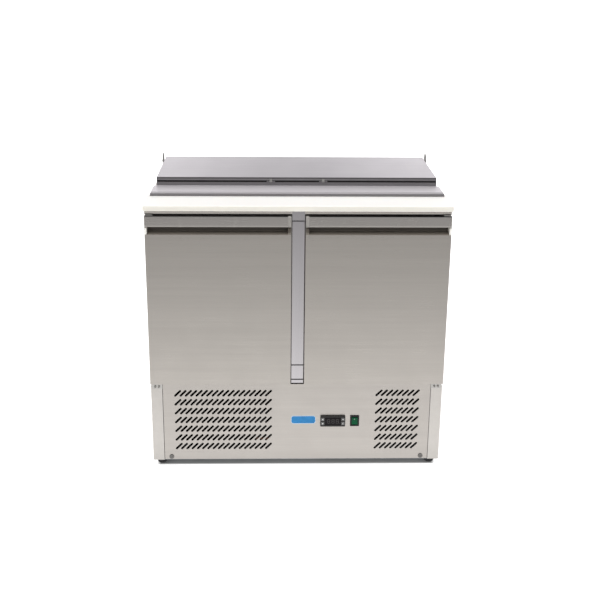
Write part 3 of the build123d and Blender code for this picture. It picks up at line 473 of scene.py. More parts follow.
# Finish of each CAD node; a name that starts with * stands for both sides.
FINISHES = (
    (PANEL_STEEL, "pan_surround pan_support_bars *_door_skin"),
    (WORKTOP_STEEL, "worktop"),
    (HANDLE_STEEL, "*_handle_profile"),
    (BASE_STEEL, "grille_panel"),
    (LID_STEEL, "lid_rear_panel"),
    (FLAP_STEEL, "lid_front_flap"),
    (MULLION_STEEL, "mullion_strips mullion_top_cap"),
    (SIDE_STEEL, "*_side_panel back_panel rear_vent_panel"),
    (LINING, "inner_liner face_frame evaporator_cover lid_liner *_door_liner"),
    (PAN_STEEL, "food_pans"),
    (GALVANISED, "base_plates condenser_shroud"),
    (HARDWARE, "door_hinge_brackets lid_hinge_brackets flap_hinges shelf_runners"),
    (ZINC, "hinge_pins"),
    (FASTENER, "front_screws"),
    (CHROME, "wire_shelves"),
    (BOARD, "cutting_board"),
    (FOAM, "foam_insulation *_door_foam"),
    (RUBBER, "feet"),
    (SHADE_DARK_RUBBER, "lid_seal"),
    (CHANNEL, "*_grip_channel"),
    (NYLON, "*_door_bushes"),
    (BLACK, "switch_housing cable_gland condensate_tray"),
    (BEZEL_GREY, "controller_housing"),
    (KEY_GREY, "controller_button_1 controller_button_2 controller_button_3 controller_button_4"),
    (GREEN, "switch_rocker"),
    (COPPER, "refrigerant_pipes"),
    (ENAMEL, "compressor fan_motors"),
)


def dress_cad():
    """Give each CAD node its finish."""
    for material, names in FINISHES:
        for name in names.split():
            for node in {name.replace("*", side) for side in SIDES}:
                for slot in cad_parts[node].material_slots:
                    slot.material = material


# ---- mesh helpers ----
def mm(*points):
    """Points given in millimetres, in metres."""
    return [tuple(value * MM for value in point) for point in points]


def slab(bm, low, high, radius=0.4 * MM, segments=2):
    """Box between two corners, with rounded edges."""
    low, high = Vector(low), Vector(high)
    corners = bmesh.ops.create_cube(bm, size=1.0)["verts"]
    for v in corners:
        v.co = Vector(low[i] + (v.co[i] + 0.5) * (high[i] - low[i]) for i in range(3))
    edges = {edge for v in corners for edge in v.link_edges}
    bmesh.ops.bevel(bm, geom=list(edges), offset=radius, segments=segments, profile=0.5,
                    affect="EDGES", clamp_overlap=True)


def axis_frame(axis):
    """Rotation that takes +Z onto an axis."""
    return Vector((0, 0, 1)).rotation_difference(Vector(axis)).to_matrix().to_4x4()


def turned(bm, outline, centre, axis, steps=32):
    """Solid of revolution from (radius, height) points, along an axis from a centre."""
    place = Matrix.Translation(Vector(centre)) @ axis_frame(axis)
    rings = []
    for radius, height in outline:
        count = steps if radius > 0 else 1
        angles = [2 * pi * i / steps for i in range(count)]
        points = [place @ Vector((radius * cos(a), radius * sin(a), height)) for a in angles]
        rings.append([bm.verts.new(point) for point in points])
    for first, second in zip(rings, rings[1:]):
        for i in range(steps):
            j = (i + 1) % steps
            ends = [first[i % len(first)], first[j % len(first)],
                    second[j % len(second)], second[i % len(second)]]
            unique = list(dict.fromkeys(ends))
            if len(unique) > 2:
                bm.faces.new(unique)


def bar(bm, points, radius, sides=8, closed=False):
    """Round bar along a list of points."""
    points = [Vector(p) for p in points]
    count = len(points)
    rings = []
    side = None
    for i, point in enumerate(points):
        before = points[i - 1] if closed or i else point
        after = points[(i + 1) % count] if closed or i < count - 1 else point
        heading = (after - before).normalized()
        if side is None:
            side = heading.orthogonal().normalized()
        side = (side - heading * side.dot(heading)).normalized()
        up = heading.cross(side)
        angles = [2 * pi * k / sides for k in range(sides)]
        rings.append([bm.verts.new(point + radius * (side * cos(a) + up * sin(a)))
                      for a in angles])
    spans = list(zip(rings, rings[1:])) + ([(rings[-1], rings[0])] if closed else [])
    for first, second in spans:
        for k in range(sides):
            m = (k + 1) % sides
            bm.faces.new((first[k], first[m], second[m], second[k]))
    if not closed:
        bm.faces.new(rings[0])
        bm.faces.new(rings[-1])


def prism(bm, outline, axis, low, high):
    """Flat outline pushed along an axis; its points hold the other two coordinates in order."""
    index = "XYZ".index(axis)

    def point(pair, level):
        """Vertex on the outline, at a level along the axis."""
        values = list(pair)
        values.insert(index, level)
        return bm.verts.new(values)

    bottom = [point(pair, low) for pair in outline]
    top = [point(pair, high) for pair in outline]
    bm.faces.new(bottom)
    bm.faces.new(top)
    for i in range(len(outline)):
        j = (i + 1) % len(outline)
        bm.faces.new((bottom[i], bottom[j], top[j], top[i]))


def rounded_outline(centre, size, radius, steps=6):
    """Points of a rectangle with round corners."""
    points = []
    for quarter, (sx, sy) in enumerate(((1, 1), (-1, 1), (-1, -1), (1, -1))):
        cx = centre[0] + sx * (size[0] / 2 - radius)
        cy = centre[1] + sy * (size[1] / 2 - radius)
        for i in range(steps + 1):
            angle = pi / 2 * (quarter + i / steps)
            points.append((cx + radius * cos(angle), cy + radius * sin(angle)))
    return points


def arc(centre, radius, start, end, steps):
    """Points on an arc in a plane, with angles in degrees."""
    span = [radians(start + (end - start) * i / steps) for i in range(steps + 1)]
    return [(centre[0] + radius * cos(a), centre[1] + radius * sin(a)) for a in span]


def ring_frame(bm, section, low, high, level_axis="Y"):
    """Section swept round a rectangle with mitred corners.

    Each section point is (inset, level). The rectangle lies across level_axis.
    """
    loops = []
    for inset, level in section:
        corners = ((low[0] + inset, low[1] + inset), (high[0] - inset, low[1] + inset),
                   (high[0] - inset, high[1] - inset), (low[0] + inset, high[1] - inset))
        loop = []
        for a, b in corners:
            loop.append(bm.verts.new((a, level, b) if level_axis == "Y" else (a, b, level)))
        loops.append(loop)
    for i, first in enumerate(loops):
        second = loops[(i + 1) % len(loops)]
        for k in range(4):
            m = (k + 1) % 4
            bm.faces.new((first[k], first[m], second[m], second[k]))


def new_object(name, data):
    """Object in the scene that shows some data."""
    made = bpy.data.objects.new(name, data)
    bpy.context.scene.collection.objects.link(made)
    return made


def mesh_object(name, bm, material):
    """Object made from a bmesh, which is used up."""
    mesh = bpy.data.meshes.new(name)
    bm.to_mesh(mesh)
    bm.free()
    mesh.materials.append(material)
    return new_object(name, mesh)


def piece(name, bm, material, body="cabinet", smooth=40):
    """Turn a bmesh into a piece that rides on a body."""
    bmesh.ops.recalc_face_normals(bm, faces=bm.faces)
    made = mesh_object(name, bm, material)
    made.data.shade_smooth()
    made.data.set_sharp_from_angle(angle=radians(smooth))
    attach(made, body)
    return made


def middle(node):
    """Middle of a CAD node's box."""
    low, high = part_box(node)
    return (low + high) / 2


# ---- fasteners ----
def pan_head(bm, centre, axis, radius):
    """Domed screw head with a round drive recess, its seat on centre."""
    rise = radius * 0.55
    dome = [(radius * cos(a), rise * sin(a)) for a in
            [radians(15 * i) for i in range(5)]]
    recess = radius * 0.42
    outline = [(0, 0), (radius, 0)] + dome + [(recess, rise * 0.93), (recess * 0.8, rise * 0.35),
                                             (0, rise * 0.25)]
    turned(bm, outline, centre, axis, steps=20)


def screws(name, places, axis, radius, body="cabinet"):
    """Zinc screw or rivet heads as one piece."""
    bm = bmesh.new()
    for place in places:
        pan_head(bm, place, axis, radius)
    piece(name, bm, ZINC, body)


# ---- camera, light and floor ----
def make_camera():
    """Camera at the photograph's angle."""
    data = bpy.data.cameras.new("camera")
    data.lens = FOCAL_LENGTH
    data.sensor_width = 36.0
    data.clip_end = FAR
    camera = new_object("camera", data)
    turn = Matrix.Rotation(radians(CAMERA_TURN), 4, "Z")
    tilt = Matrix.Rotation(radians(90 - CAMERA_DOWN), 4, "X")
    roll = Matrix.Rotation(radians(CAMERA_ROLL), 4, "Z")
    camera.matrix_world = Matrix.Translation(CAMERA_PLACE) @ turn @ tilt @ roll
    bpy.context.scene.camera = camera


def make_world():
    """White surround for the eye and the fill light, with a dimmer room for reflections."""
    world = bpy.data.worlds.new("studio")
    bpy.context.scene.world = world
    w = Nodes(world)
    path = w.node("LightPath")
    split = w.node("SeparateXYZ")
    w.feed(split.inputs[0], w.node("TexCoord").outputs["Generated"])
    level = w.span(split.outputs[1], -0.55, 0.35, ROOM_FRONT, ROOM_BACK, "SMOOTHSTEP")
    rise = w.span(split.outputs[2], 0.40, 0.90, 0.0, 1.0, "SMOOTHSTEP")
    total = w.node("Mix")
    for index, value in ((0, rise), (2, level), (3, ROOM_ABOVE)):
        w.feed(total.inputs[index], value)
    seen = w.span(path.outputs["Is Camera Ray"], 0.0, 1.0, FILL, SURROUND)
    mix = w.node("MixShader")
    w.feed(mix.inputs[0], path.outputs["Is Glossy Ray"])
    for index, strength in ((1, seen), (2, total.outputs[0])):
        light = w.node("Background")
        light.inputs["Color"].default_value = (1, 1, 1, 1)
        w.feed(light.inputs["Strength"], strength)
        w.feed(mix.inputs[index], light.outputs[0])
    w.feed(w.node("OutputWorld").inputs["Surface"], mix.outputs[0])


def make_floor():
    """Pale floor with painted light: a painted contact shadow round the object, a painted glow that only the
    camera sees away from it, and a painted glow in reflections that dims away from the object.
    """
    s = Shader("studio_floor")
    x, y, _ = s.axes()
    out = [s.math("MAXIMUM", s.math("SUBTRACT", s.math("ABSOLUTE", value), half))
           for value, half in zip((x, y), FLOOR_HALF)]
    distance = s.math("SQRT", s.math("ADD", *[s.math("POWER", value, 2.0) for value in out]))
    path = s.node("LightPath")
    glossy = path.outputs["Is Glossy Ray"]
    pale = s.mix(s.noise(3, detail=2), (0.905, 0.903, 0.898), (0.915, 0.913, 0.910))
    # painted reflection: in reflections the floor glows, dimmer away from the object and dimmer right next to
    # it
    falloff = s.math("ADD", s.math("MULTIPLY", distance, FLOOR_FALLOFF), 1.0)
    painted_reflection = s.math("MINIMUM", s.math("DIVIDE", FLOOR_GAIN, falloff), FLOOR_NEAR)
    painted_reflection = s.math("MULTIPLY", painted_reflection, s.span(distance, 0.0, 0.15, 0.80, 1.0))
    # painted contact shadow: the floor's colour darkens to near black under and right round the object
    pale = s.mix(s.span(distance, 0.0, 0.014, 0.64, 0.0), pale, (0.02, 0.02, 0.02))
    # painted glow: only the camera sees the floor glow, rising over 12 mm from the object, which keeps the
    # painted shadow tight
    lift = s.span(distance, 0.0, 0.012, 0.0, FLOOR_GLOW)
    lift = s.math("MULTIPLY", path.outputs["Is Camera Ray"], lift)
    # in reflections the floor's colour is black, so only its painted reflection glow shows
    s.set(Base_Color=s.mix(glossy, pale, (0.0, 0.0, 0.0)), Roughness=0.9)
    s.set(Specular_IOR_Level=0.0, Emission_Color=(1.0, 0.995, 0.985, 1))
    s.set(Emission_Strength=s.math("ADD", lift, s.math("MULTIPLY", glossy, painted_reflection)))
    bm = bmesh.new()
    bmesh.ops.create_grid(bm, x_segments=8, y_segments=8, size=FLOOR_SIZE)
    floor = mesh_object("studio_floor", bm, s.material)


def make_card():
    """Reflector behind the object, seen only in reflections: bright low down, dimmer higher up."""
    s = Shader("reflector_card")
    x, _, z = s.axes()
    height = s.span(z, 0.95, 1.16, CARD_LOW, CARD_HIGH)
    ends = s.span(s.math("ABSOLUTE", x), 0.12, 0.62, 0.0, CARD_ENDS)
    s.set(Base_Color=(0, 0, 0, 1), Specular_IOR_Level=0.0, Emission_Color=(1.0, 0.985, 1.0, 1))
    s.set(Emission_Strength=s.math("ADD", height, ends))
    bm = bmesh.new()
    (left, foot), (right, top) = CARD_CORNERS
    corners = ((left, CARD_Y, foot), (right, CARD_Y, foot), (right, CARD_Y, top), (left, CARD_Y, top))
    bm.faces.new([bm.verts.new(corner) for corner in corners])
    card = mesh_object("reflector_card", bm, s.material)
    for ray in ("camera", "diffuse", "shadow", "transmission"):
        setattr(card, "visible_" + ray, False)


def make_lights():
    """One very wide soft sun from above and in front, kept out of the reflections."""
    data = bpy.data.lights.new("key", "SUN")
    data.energy = KEY_STRENGTH
    data.angle = radians(KEY_SPREAD)
    light = new_object("key", data)
    light.rotation_euler = [radians(angle) for angle in KEY_TURN]
    light.visible_glossy = False


# ---- controls on the base panel ----
# Bars of a digit: place across and up, and lying or standing.
SEGMENTS = ((0, 1, "h"), (0, 0, "h"), (0, -1, "h"), (-1, 1, "v"), (1, 1, "v"), (-1, -1, "v"), (1, -1, "v"))
WINDOW_HALF = (24.2 * MM, 12.7 * MM)
DIGITS = (-13.0, 0.5, 14.0)      # mm from the middle of the window
KEY_MARKS = {1: mm((-2.6, -1.6), (2.6, -1.6), (0, 2.4)), 2: mm((-2.6, 1.6), (0, -2.4), (2.6, 1.6)),
             3: mm((-2.4, -0.7), (2.4, -0.7), (2.4, 0.7), (-2.4, 0.7))}
LABEL_CENTRE = (20.2 * MM, 155.5 * MM)
# name, film, size, corner radius, and how far its face and its back stand off the panel
LABEL_LAYERS = (("blank_label", LABEL_RIM, (76 * MM, 27 * MM), 8, 0.25, 0.0),
                ("blank_label_field", LABEL_BLUE, (73 * MM, 24 * MM), 6.5, 0.40, 0.2))
FORWARD = (0, -1, 0)
BACKWARD = (0, 1, 0)
UPWARD = (0, 0, 1)


def digit_segment(bm, x, z, kind, y, length, half):
    """One six-sided bar of a seven-segment digit."""
    reach = length / 2
    outline = [(-reach, 0), (-reach + half, half), (reach - half, half),
               (reach, 0), (reach - half, -half), (-reach + half, -half)]
    if kind == "v":
        outline = [(b, a) for a, b in outline]
    prism(bm, [(x + a, z + b) for a, b in outline], "Y", y - 0.15 * MM, y)


def thermostat():
    """Smoked window with unlit digits, and marks on the four keys."""
    centre = middle("controller_housing")
    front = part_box("controller_housing")[0].y
    x, z = centre.x, centre.z
    face = front + 0.5 * MM
    wide, tall = WINDOW_HALF
    bm = bmesh.new()
    slab(bm, (x - wide, face, z - tall), (x + wide, front + 1.6 * MM, z + tall), 0.35 * MM)
    piece("thermostat_window", bm, WINDOW)
    bm = bmesh.new()
    for place in DIGITS:
        for dx, dz, kind in SEGMENTS:
            shift = dz * (6.6 if kind == "h" else 3.3) * MM
            digit_segment(bm, x + (place + dx * 3.6) * MM, z + shift, kind, face, 6.4 * MM, 0.75 * MM)
        turned(bm, mm((0, 0), (0.8, 0), (0.8, 0.15), (0, 0.15)),
               (x + (place + 6.3) * MM, face, z - 6.6 * MM), FORWARD, 12)
    piece("thermostat_digits", bm, DIM_SEGMENT)
    bm = bmesh.new()
    for i in range(3):
        turned(bm, mm((0, 0), (0.7, 0), (0.55, 0.2), (0, 0.25)),
               (x - 21.5 * MM, face, z + (6 - 6 * i) * MM), FORWARD, 12)
    piece("thermostat_lamps", bm, DIM_SEGMENT)
    for index in range(1, 5):
        key = middle(f"controller_button_{index}")
        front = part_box(f"controller_button_{index}")[0].y
        bm = bmesh.new()
        if index in KEY_MARKS:
            outline = [(key.x + a, key.z + b) for a, b in KEY_MARKS[index]]
            prism(bm, outline, "Y", front - 0.12 * MM, front + 0.05 * MM)
        else:
            ring = mm((1.7, -0.05), (2.4, -0.05), (2.4, 0.12), (1.7, 0.12), (1.7, -0.05))
            turned(bm, ring, (key.x, front, key.z), FORWARD, 24)
        piece(f"key_mark_{index}", bm, WHITE_INK, f"button_{index}")


def rocker_marks():
    """A bar above and a ring below, printed on the two faces of the rocker key."""
    low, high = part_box("switch_rocker")
    x, z = (low.x + high.x) / 2, (low.z + high.z) / 2
    pivot = low.y + 4.0 * MM
    half = (high.z - low.z) / 2

    def face(level):
        """Y of the key's face at a level."""
        rise = (pivot - low.y) if level > z else 1.2 * MM
        return pivot - rise * abs(level - z) / half - 0.12 * MM

    bm = bmesh.new()
    bar(bm, [(x, face(z + d * MM), z + d * MM) for d in (4.2, 6.0, 7.8)], 0.45 * MM, 8)
    ring = [(x + a, face(b), b) for a, b in arc((x, z - 6.2 * MM), 1.9 * MM, 0, 345, 23)]
    bar(bm, ring, 0.4 * MM, 6, closed=True)
    piece("rocker_marks", bm, WHITE_INK, "rocker")


def plain_label():
    """Blank label on the base panel, with a paler rim."""
    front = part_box("grille_panel")[0].y
    for name, material, size, radius, depth, back in LABEL_LAYERS:
        bm = bmesh.new()
        outline = rounded_outline(LABEL_CENTRE, size, radius * MM)
        prism(bm, outline, "Y", front - depth * MM, front - back * MM)
        piece(name, bm, material)


# ---- doors ----
def door_details(side, sign):
    """Recess end wall, gasket with bellows, and liner screws of one door."""
    body = side + "_door"
    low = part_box(side + "_handle_profile")[0]
    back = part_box(side + "_grip_channel")[1].y - 1.5 * MM
    skin_low, skin_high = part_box(side + "_door_skin")
    outer = skin_low.x + 6.0 * MM if sign < 0 else skin_high.x - 6.0 * MM
    front = skin_low.y + 1.5 * MM
    foot = low.z - 21.5 * MM
    bm = bmesh.new()
    outline = [(front, foot), (back, foot + 4 * MM), (back, low.z), (front + 4 * MM, low.z),
               (front, low.z - 4 * MM)]
    prism(bm, outline, "X", *sorted((outer, outer - sign * 0.4 * MM)))
    piece(side + "_recess_end_wall", bm, END_CREAM, body)

    gasket_low, gasket_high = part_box(side + "_door_gasket")
    base, face = gasket_low.y, gasket_high.y
    crown = [(1.8 * MM + 0.6 * MM * k, face - (0.35 - 0.35 * sin(pi * k / 14)) * MM)
             for k in range(15)]
    section = [(0.0, base), (0.0, base + 1.5 * MM), (1.2 * MM, base + 2.2 * MM),
               (0.2 * MM, base + 3.2 * MM), (0.6 * MM, face - 1.2 * MM), *crown,
               (11.6 * MM, face - 1.4 * MM), (11.9 * MM, base + 3.2 * MM),
               (10.8 * MM, base + 2.2 * MM), (12.0 * MM, base + 1.5 * MM), (12.0 * MM, base)]
    bm = bmesh.new()
    ring_frame(bm, section, (gasket_low.x, gasket_low.z), (gasket_high.x, gasket_high.z))
    gasket = piece(side + "_bellows_gasket", bm, RUBBER, body, smooth=60)
    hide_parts(side + "_door_gasket")

    liner_low, liner_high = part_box(side + "_door_liner")
    inner = skin_high.x - 30 * MM if sign < 0 else skin_low.x + 30 * MM
    places = [(inner, liner_high.y - 4.0 * MM, level)
              for level in (liner_low.z + 38 * MM, liner_high.z - 38 * MM)]
    screws(side + "_liner_screws", places, BACKWARD, 3.4 * MM, body)


# ---- lid ----
def lid_details():
    """Bulb seal under the rear leaf, and rivets on the fold hinges."""
    low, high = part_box("lid_liner")
    bulb = mm((0.0, 0.0), (0.4, -2.4), (1.6, -4.2), (3.0, -4.8), (4.4, -4.2), (5.6, -2.4), (6.0, 0.0),
              (6.0, 0.6), (0.0, 0.6))
    bm = bmesh.new()
    ring_frame(bm, [(inset, low.z + drop) for inset, drop in bulb],
               (low.x + 6 * MM, low.y + 8 * MM), (high.x - 6 * MM, high.y - 6 * MM), "Z")
    piece("lid_bulb_seal", bm, RUBBER, "lid_rear", smooth=60)
    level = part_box("flap_hinges")[1].z - 3.2 * MM
    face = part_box("lid_rear_panel")[0].y
    places = [(sign * 80 * MM + dx * MM, face, level) for sign in (-1, 1) for dx in (-9, 9)]
    screws("hinge_rivets", places, FORWARD, 1.5 * MM, "lid_rear")


# ---- back ----
LOUVRE_ROWS = 8
LOUVRE_FIRST = 70                # mm, foot of the lowest louvre
LOUVRE_PITCH = 22
LOUVRE_ENDS = (58 * MM, 302 * MM)
PLATE_X, PLATE_Z = -0.300, 0.640
NUT_RADIUS = 13.5 * MM
GLAND_BORE = 4.6 * MM
GLAND_CAP = mm((4.6, -4.9), (9.6, -4.9), (9.8, -2.4), (8.6, -0.6), (6.0, 0), (4.6, -0.4), (4.6, -4.9))
WIRE_ENTRY = mm((0, 0), (9, 0), (9, 2), (6, 4), (5, 6), (4, 5), (3.6, 1.5), (0, 1.5))


def louvres(back):
    """Two columns of pressed louvre hoods with closed ends."""
    bm = bmesh.new()
    for sign in (-1, 1):
        for row in range(LOUVRE_ROWS):
            foot = (LOUVRE_FIRST + LOUVRE_PITCH * row) * MM
            bend = (back - 0.2 * MM, foot + 7.5 * MM)
            hood = arc(bend, 4.4 * MM, 90, 0, 6)
            hood += [(back + 4.2 * MM, foot - 0.5 * MM), (back + 3.4 * MM, foot - 0.5 * MM)]
            hood += arc(bend, 3.6 * MM, 0, 90, 6)
            cheek = [(back, foot + 11.9 * MM), (back + 4.0 * MM, foot + 8 * MM),
                     (back + 4.0 * MM, foot - 0.5 * MM), (back, foot - 2 * MM)]
            ends = sorted(sign * end for end in LOUVRE_ENDS)
            prism(bm, hood, "X", *ends)
            for x in ends:
                prism(bm, cheek, "X", x - 0.5 * MM, x + 0.5 * MM)
    piece("rear_louvres", bm, SIDE_STEEL)


def rating_plate(back):
    """Blank plate with ruled lines and four rivets."""
    bm = bmesh.new()
    outline = rounded_outline((PLATE_X, PLATE_Z), (90 * MM, 60 * MM), 3 * MM)
    prism(bm, outline, "Y", back, back + 0.6 * MM)
    piece("blank_rating_plate", bm, RAW_ALUMINIUM)
    bm = bmesh.new()
    for row in range(5):
        level = PLATE_Z + (18 - 9 * row) * MM
        slab(bm, (PLATE_X - 34 * MM, back + 0.5 * MM, level - 0.3 * MM),
             (PLATE_X + 34 * MM, back + 0.68 * MM, level + 0.3 * MM), 0.05 * MM, 1)
    piece("rating_plate_rules", bm, BLACK)
    places = [(PLATE_X + a * 40 * MM, back + 0.6 * MM, PLATE_Z + b * 25 * MM)
              for a in (-1, 1) for b in (-1, 1)]
    screws("rating_plate_rivets", places, BACKWARD, 1.6 * MM)


def gland_nut(gland, back):
    """Hexagonal nut and domed cap of the cable gland."""
    bm = bmesh.new()
    turned(bm, GLAND_CAP, (gland.x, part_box("cable_gland")[1].y, gland.z), BACKWARD, 24)
    corners = [radians(60 * i + 30) for i in range(7)]
    for pair in zip(corners, corners[1:]):
        face = [(gland.x + NUT_RADIUS * cos(a), gland.z + NUT_RADIUS * sin(a)) for a in pair]
        bore = [(gland.x + GLAND_BORE * cos(a), gland.z + GLAND_BORE * sin(a)) for a in pair]
        prism(bm, face + bore[::-1], "Y", back + 0.1 * MM, back + 2.9 * MM)
    piece("gland_nut", bm, BLACK)


def terminal_box(x, z, panel):
    """Box for the mains wires on a folded bracket inside the rear vent panel, in line with the gland."""
    rear = panel - 38 * MM
    bm = bmesh.new()
    for half, tall, deep, shut, radius in ((26, 19, 26, 7, 2), (27, 20, 8, 3, 1.6)):
        slab(bm, (x - half * MM, rear - deep * MM, z - tall * MM),
             (x + half * MM, rear - shut * MM, z + tall * MM), radius * MM, 3)
    turned(bm, WIRE_ENTRY, (x, rear - 3 * MM, z), BACKWARD, 24)
    piece("terminal_box", bm, BLACK)
    corners = [(x + a * MM, rear - 3 * MM, z + b * MM) for a in (-21, 21) for b in (-14, 14)]
    screws("terminal_box_screws", corners, BACKWARD, 2.4 * MM)
    foot = z - 20 * MM
    front = rear - 28 * MM
    inner = panel - 1.2 * MM
    outline = [(panel, foot - 22 * MM), (panel, foot - 0.8 * MM), (panel - 0.8 * MM, foot), (front, foot),
               (front, foot - 1.2 * MM), (inner, foot - 1.2 * MM), (inner, foot - 22 * MM)]
    bm = bmesh.new()
    prism(bm, outline, "X", x - 20 * MM, x + 20 * MM)
    piece("terminal_box_bracket", bm, GALVANISED)


def rear_details():
    """Louvres, joint strip, panel screws, rating plate, gland nut and terminal box."""
    low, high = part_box("rear_vent_panel")
    panel_low, panel_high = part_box("back_panel")
    back = high.y
    louvres(back)
    bm = bmesh.new()
    slab(bm, (low.x + 8 * MM, low.y - 1.2 * MM, high.z - 8 * MM),
         (high.x - 8 * MM, low.y - 0.2 * MM, panel_low.z - 0.1 * MM), 0.2 * MM)
    piece("rear_joint_strip", bm, GALVANISED)
    xs = [low.x + (high.x - low.x) * t for t in (0.02, 0.35, 0.65, 0.98)]
    places = [(x, back, z) for x in xs for z in (low.z + 10 * MM, high.z - 10 * MM)]
    places += [(x, panel_high.y, z) for x in xs for z in (panel_low.z + 12 * MM, panel_high.z - 14 * MM)]
    screws("rear_screws", places, BACKWARD, 3.6 * MM)
    rating_plate(back)
    gland = middle("cable_gland")
    gland_nut(gland, back)
    terminal_box(gland.x, gland.z, low.y)


# ---- machine space and cold space ----
BLADES = 5
BLADE_ROWS = 8                   # steps along a blade, and across it
BLADE_COLUMNS = 6
BLADE_SKIN = 0.4 * MM
TUBE_RADIUS = 4.6 * MM
BEND_OUT = 3 * MM
FIN_HALF = 0.12 * MM
COMPRESSOR = Vector((0.210, 0.090, 0.0))
SEAM = mm((79.5, 109), (81, 109.5), (81.4, 113), (81, 116.5), (79.5, 117), (79.5, 109))
GROMMET = mm((5, 37), (12, 37), (13, 39), (11, 41), (11, 43), (13, 45), (12, 47), (5, 47), (5, 37))
PROCESS_TUBE = mm((190, 70, 189.5), (190, 70, 200), (192, 66, 214))
PAN_CENTRES = {"left": -0.266, "middle": 0.0, "right": 0.266}


def fan_blade(bm, centre, hub, radius, depth, start):
    """One twisted blade: two skins, joined round the rim."""
    root = hub * 0.97
    skins = []
    for offset in (-BLADE_SKIN, BLADE_SKIN):
        skin = []
        for i in range(BLADE_ROWS + 1):
            out = i / BLADE_ROWS
            r = root + (radius - root) * out
            row = []
            for j in range(BLADE_COLUMNS + 1):
                u = j / BLADE_COLUMNS * 2 - 1
                angle = start + 0.30 * out ** 1.5 + u * (0.50 - 0.10 * out)
                lift = depth * 0.42 * u * (1 - 0.25 * out) - depth * 0.10 * (1 - u * u)
                point = Vector((r * cos(angle), lift + offset, r * sin(angle)))
                row.append(bm.verts.new(centre + point))
            skin.append(row)
        for first, second in zip(skin, skin[1:]):
            for j in range(BLADE_COLUMNS):
                bm.faces.new((first[j], second[j], second[j + 1], first[j + 1]))
        skins.append(skin)
    rim = [(0, j) for j in range(BLADE_COLUMNS)] + [(i, BLADE_COLUMNS) for i in range(BLADE_ROWS)]
    rim += [(BLADE_ROWS, j) for j in range(BLADE_COLUMNS, 0, -1)] + [(i, 0) for i in range(BLADE_ROWS, 0, -1)]
    lower, upper = skins
    for (a, b), (c, d) in zip(rim, rim[1:] + rim[:1]):
        bm.faces.new((lower[a][b], lower[c][d], upper[c][d], upper[a][b]))


def fan_wheel(node, material):
    """Pressed fan wheel with twisted blades round a cup hub, in place of a CAD fan."""
    low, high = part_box(node)
    centre = (low + high) / 2
    radius = max(high.x - low.x, high.z - low.z) / 2 * 0.985
    depth = high.y - low.y
    hub = radius * 0.27
    bore, wall = radius * 0.05, hub * 0.93
    bm = bmesh.new()
    turned(bm, [(bore, -depth * 0.40), (hub * 0.9, -depth * 0.46), (hub, -depth * 0.36),
                (hub, depth * 0.46), (wall, depth * 0.46), (wall, -depth * 0.26),
                (bore, -depth * 0.26), (bore, -depth * 0.40)], centre, BACKWARD, 36)
    for blade in range(BLADES):
        fan_blade(bm, centre, hub, radius, depth, 2 * pi * blade / BLADES)
    wheel = piece(node + "_wheel", bm, material, node + "_wheel")
    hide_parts(node)


def wire_guard(name, centre, y, first, step, spokes, gauge):
    """Round wire guard of seven rings on radial wires."""
    radii = [(first + step * i) * MM for i in range(7)]
    bm = bmesh.new()
    for radius in radii:
        ring = [(a, y, b) for a, b in arc((centre.x, centre.z), radius, 0, 350, 35)]
        bar(bm, ring, gauge, 6, closed=True)
    for i in range(spokes):
        angle = 2 * pi * (i + 0.5) / spokes
        ends = [(centre.x + r * cos(angle), y + gauge * 1.6, centre.z + r * sin(angle))
                for r in (radii[0], (radii[0] + radii[-1]) / 2, radii[-1])]
        bar(bm, ends, gauge, 6)
    piece(name, bm, CHROME)


def finned_coil(name, material, tube_material, inset, split, pitch, levels):
    """Coil of thin fins on round tubes with return bends, in place of a CAD coil.

    All sizes are in mm: inset from the ends, half the gap in the middle, the fins' pitch, and
    the tubes' levels.
    """
    node = name + "_coil"
    low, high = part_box(node)
    y = middle(node).y
    left, right = low.x + inset * MM, high.x - inset * MM
    outline = [(low.y + 1 * MM, low.z), (high.y - 1 * MM, low.z),
               (high.y - 1 * MM, high.z), (low.y + 1 * MM, high.z)]
    levels = [level * MM for level in levels]
    comb = bmesh.new()
    tubes = bmesh.new()
    for x0, x1 in ([(left, -split * MM), (split * MM, right)] if split else [(left, right)]):
        count = int((x1 - x0) / (pitch * MM))
        for i in range(count + 1):
            x = x0 + (x1 - x0) * i / count + random.uniform(-0.4, 0.4) * MM
            prism(comb, outline, "X", x - FIN_HALF, x + FIN_HALF)
        ends = (x1 + BEND_OUT, x0 - BEND_OUT)
        for k, level in enumerate(levels):
            bar(tubes, [(ends[1], y, level), ((x0 + x1) / 2, y, level), (ends[0], y, level)],
                TUBE_RADIUS, 12)
            if k + 1 < len(levels):
                gap = (levels[k + 1] - level) / 2
                way = 1 if k % 2 == 0 else -1
                turn = [radians(-90 + 18 * n) for n in range(11)]
                bend = [(ends[k % 2] + way * gap * 0.45 * cos(t), y, level + gap + gap * sin(t))
                        for t in turn]
                bar(tubes, bend, TUBE_RADIUS, 12)
    fins = piece(name + "_fins", comb, material)
    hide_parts(node)
    piece(name + "_tubes", tubes, tube_material)


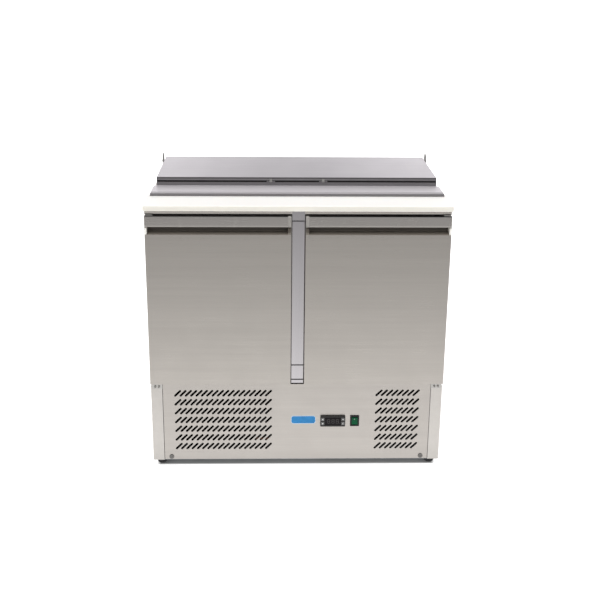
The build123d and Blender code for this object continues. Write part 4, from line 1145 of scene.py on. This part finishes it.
def compressor_details():
    """Seam, rubber mounts, blank plate and process tube of the compressor."""
    bm = bmesh.new()
    turned(bm, SEAM, COMPRESSOR, UPWARD, 64)
    piece("compressor_seam", bm, ENAMEL)
    bm = bmesh.new()
    for dx in (-90, 90):
        for dy in (-45, 45):
            turned(bm, GROMMET, COMPRESSOR + Vector((dx * MM, dy * MM, 0)), UPWARD, 24)
    piece("compressor_grommets", bm, RUBBER)
    bm = bmesh.new()
    outline = rounded_outline((COMPRESSOR.x, 0.150), (60 * MM, 34 * MM), 2 * MM)
    prism(bm, outline, "Y", 0.0105, 0.0115)
    piece("compressor_blank_plate", bm, RAW_ALUMINIUM)
    bm = bmesh.new()
    bar(bm, PROCESS_TUBE, 3 * MM, 12)
    piece("process_tube", bm, COPPER)


def machine_details():
    """Coils, fan wheels, guards, cover screws and the compressor's details."""
    # the condenser's fins and tubes both take the near-black painted-shade fin colour
    finned_coil("condenser", PAINTED_SHADE_FINS, PAINTED_SHADE_FINS, 8, 0, 3.2, range(62, 237, 29))
    finned_coil("evaporator", FINS, COPPER, 9, 79, 4.5, range(586, 715, 32))
    fan_wheel("condenser_fan", RAW_ALUMINIUM)
    fan_wheel("evaporator_fan", BLACK)
    shroud_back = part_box("condenser_shroud")[1].y
    wire_guard("condenser_guard", middle("condenser_fan"), shroud_back + 3 * MM, 36, 9.5, 8, 1.1 * MM)
    low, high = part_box("evaporator_cover")
    wire_guard("evaporator_guard", middle("evaporator_fan"), low.y - 3.2 * MM, 10, 9, 6, 1.0 * MM)
    corners = [(sign * 238 * MM, low.y, z) for sign in (-1, 1)
               for z in (low.z + 18 * MM, high.z - 18 * MM)]
    screws("evaporator_cover_screws", corners, FORWARD, 4 * MM)
    compressor_details()


def pan_rims():
    """Rolled bead round the rim of each pan."""
    low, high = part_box("food_pans")
    y = (low.y + high.y) / 2
    for name, x in PAN_CENTRES.items():
        bm = bmesh.new()
        outline = rounded_outline((x, y), (263.4 * MM, 323.4 * MM), 23 * MM, 8)
        bar(bm, [(a, b, high.z - 0.4 * MM) for a, b in outline], 0.8 * MM, 8, closed=True)
        piece(name + "_pan_bead", bm, PAN_STEEL)


# ---- build ----
def main():
    """Build the studio and the visual model."""
    bpy.context.scene.view_settings.view_transform = "Standard"
    make_camera()
    make_world()
    make_floor()
    make_card()
    make_lights()
    dress_cad()
    thermostat()
    rocker_marks()
    plain_label()
    for side, sign in SIDES.items():
        door_details(side, sign)
    lid_details()
    rear_details()
    machine_details()
    pan_rims()


main()
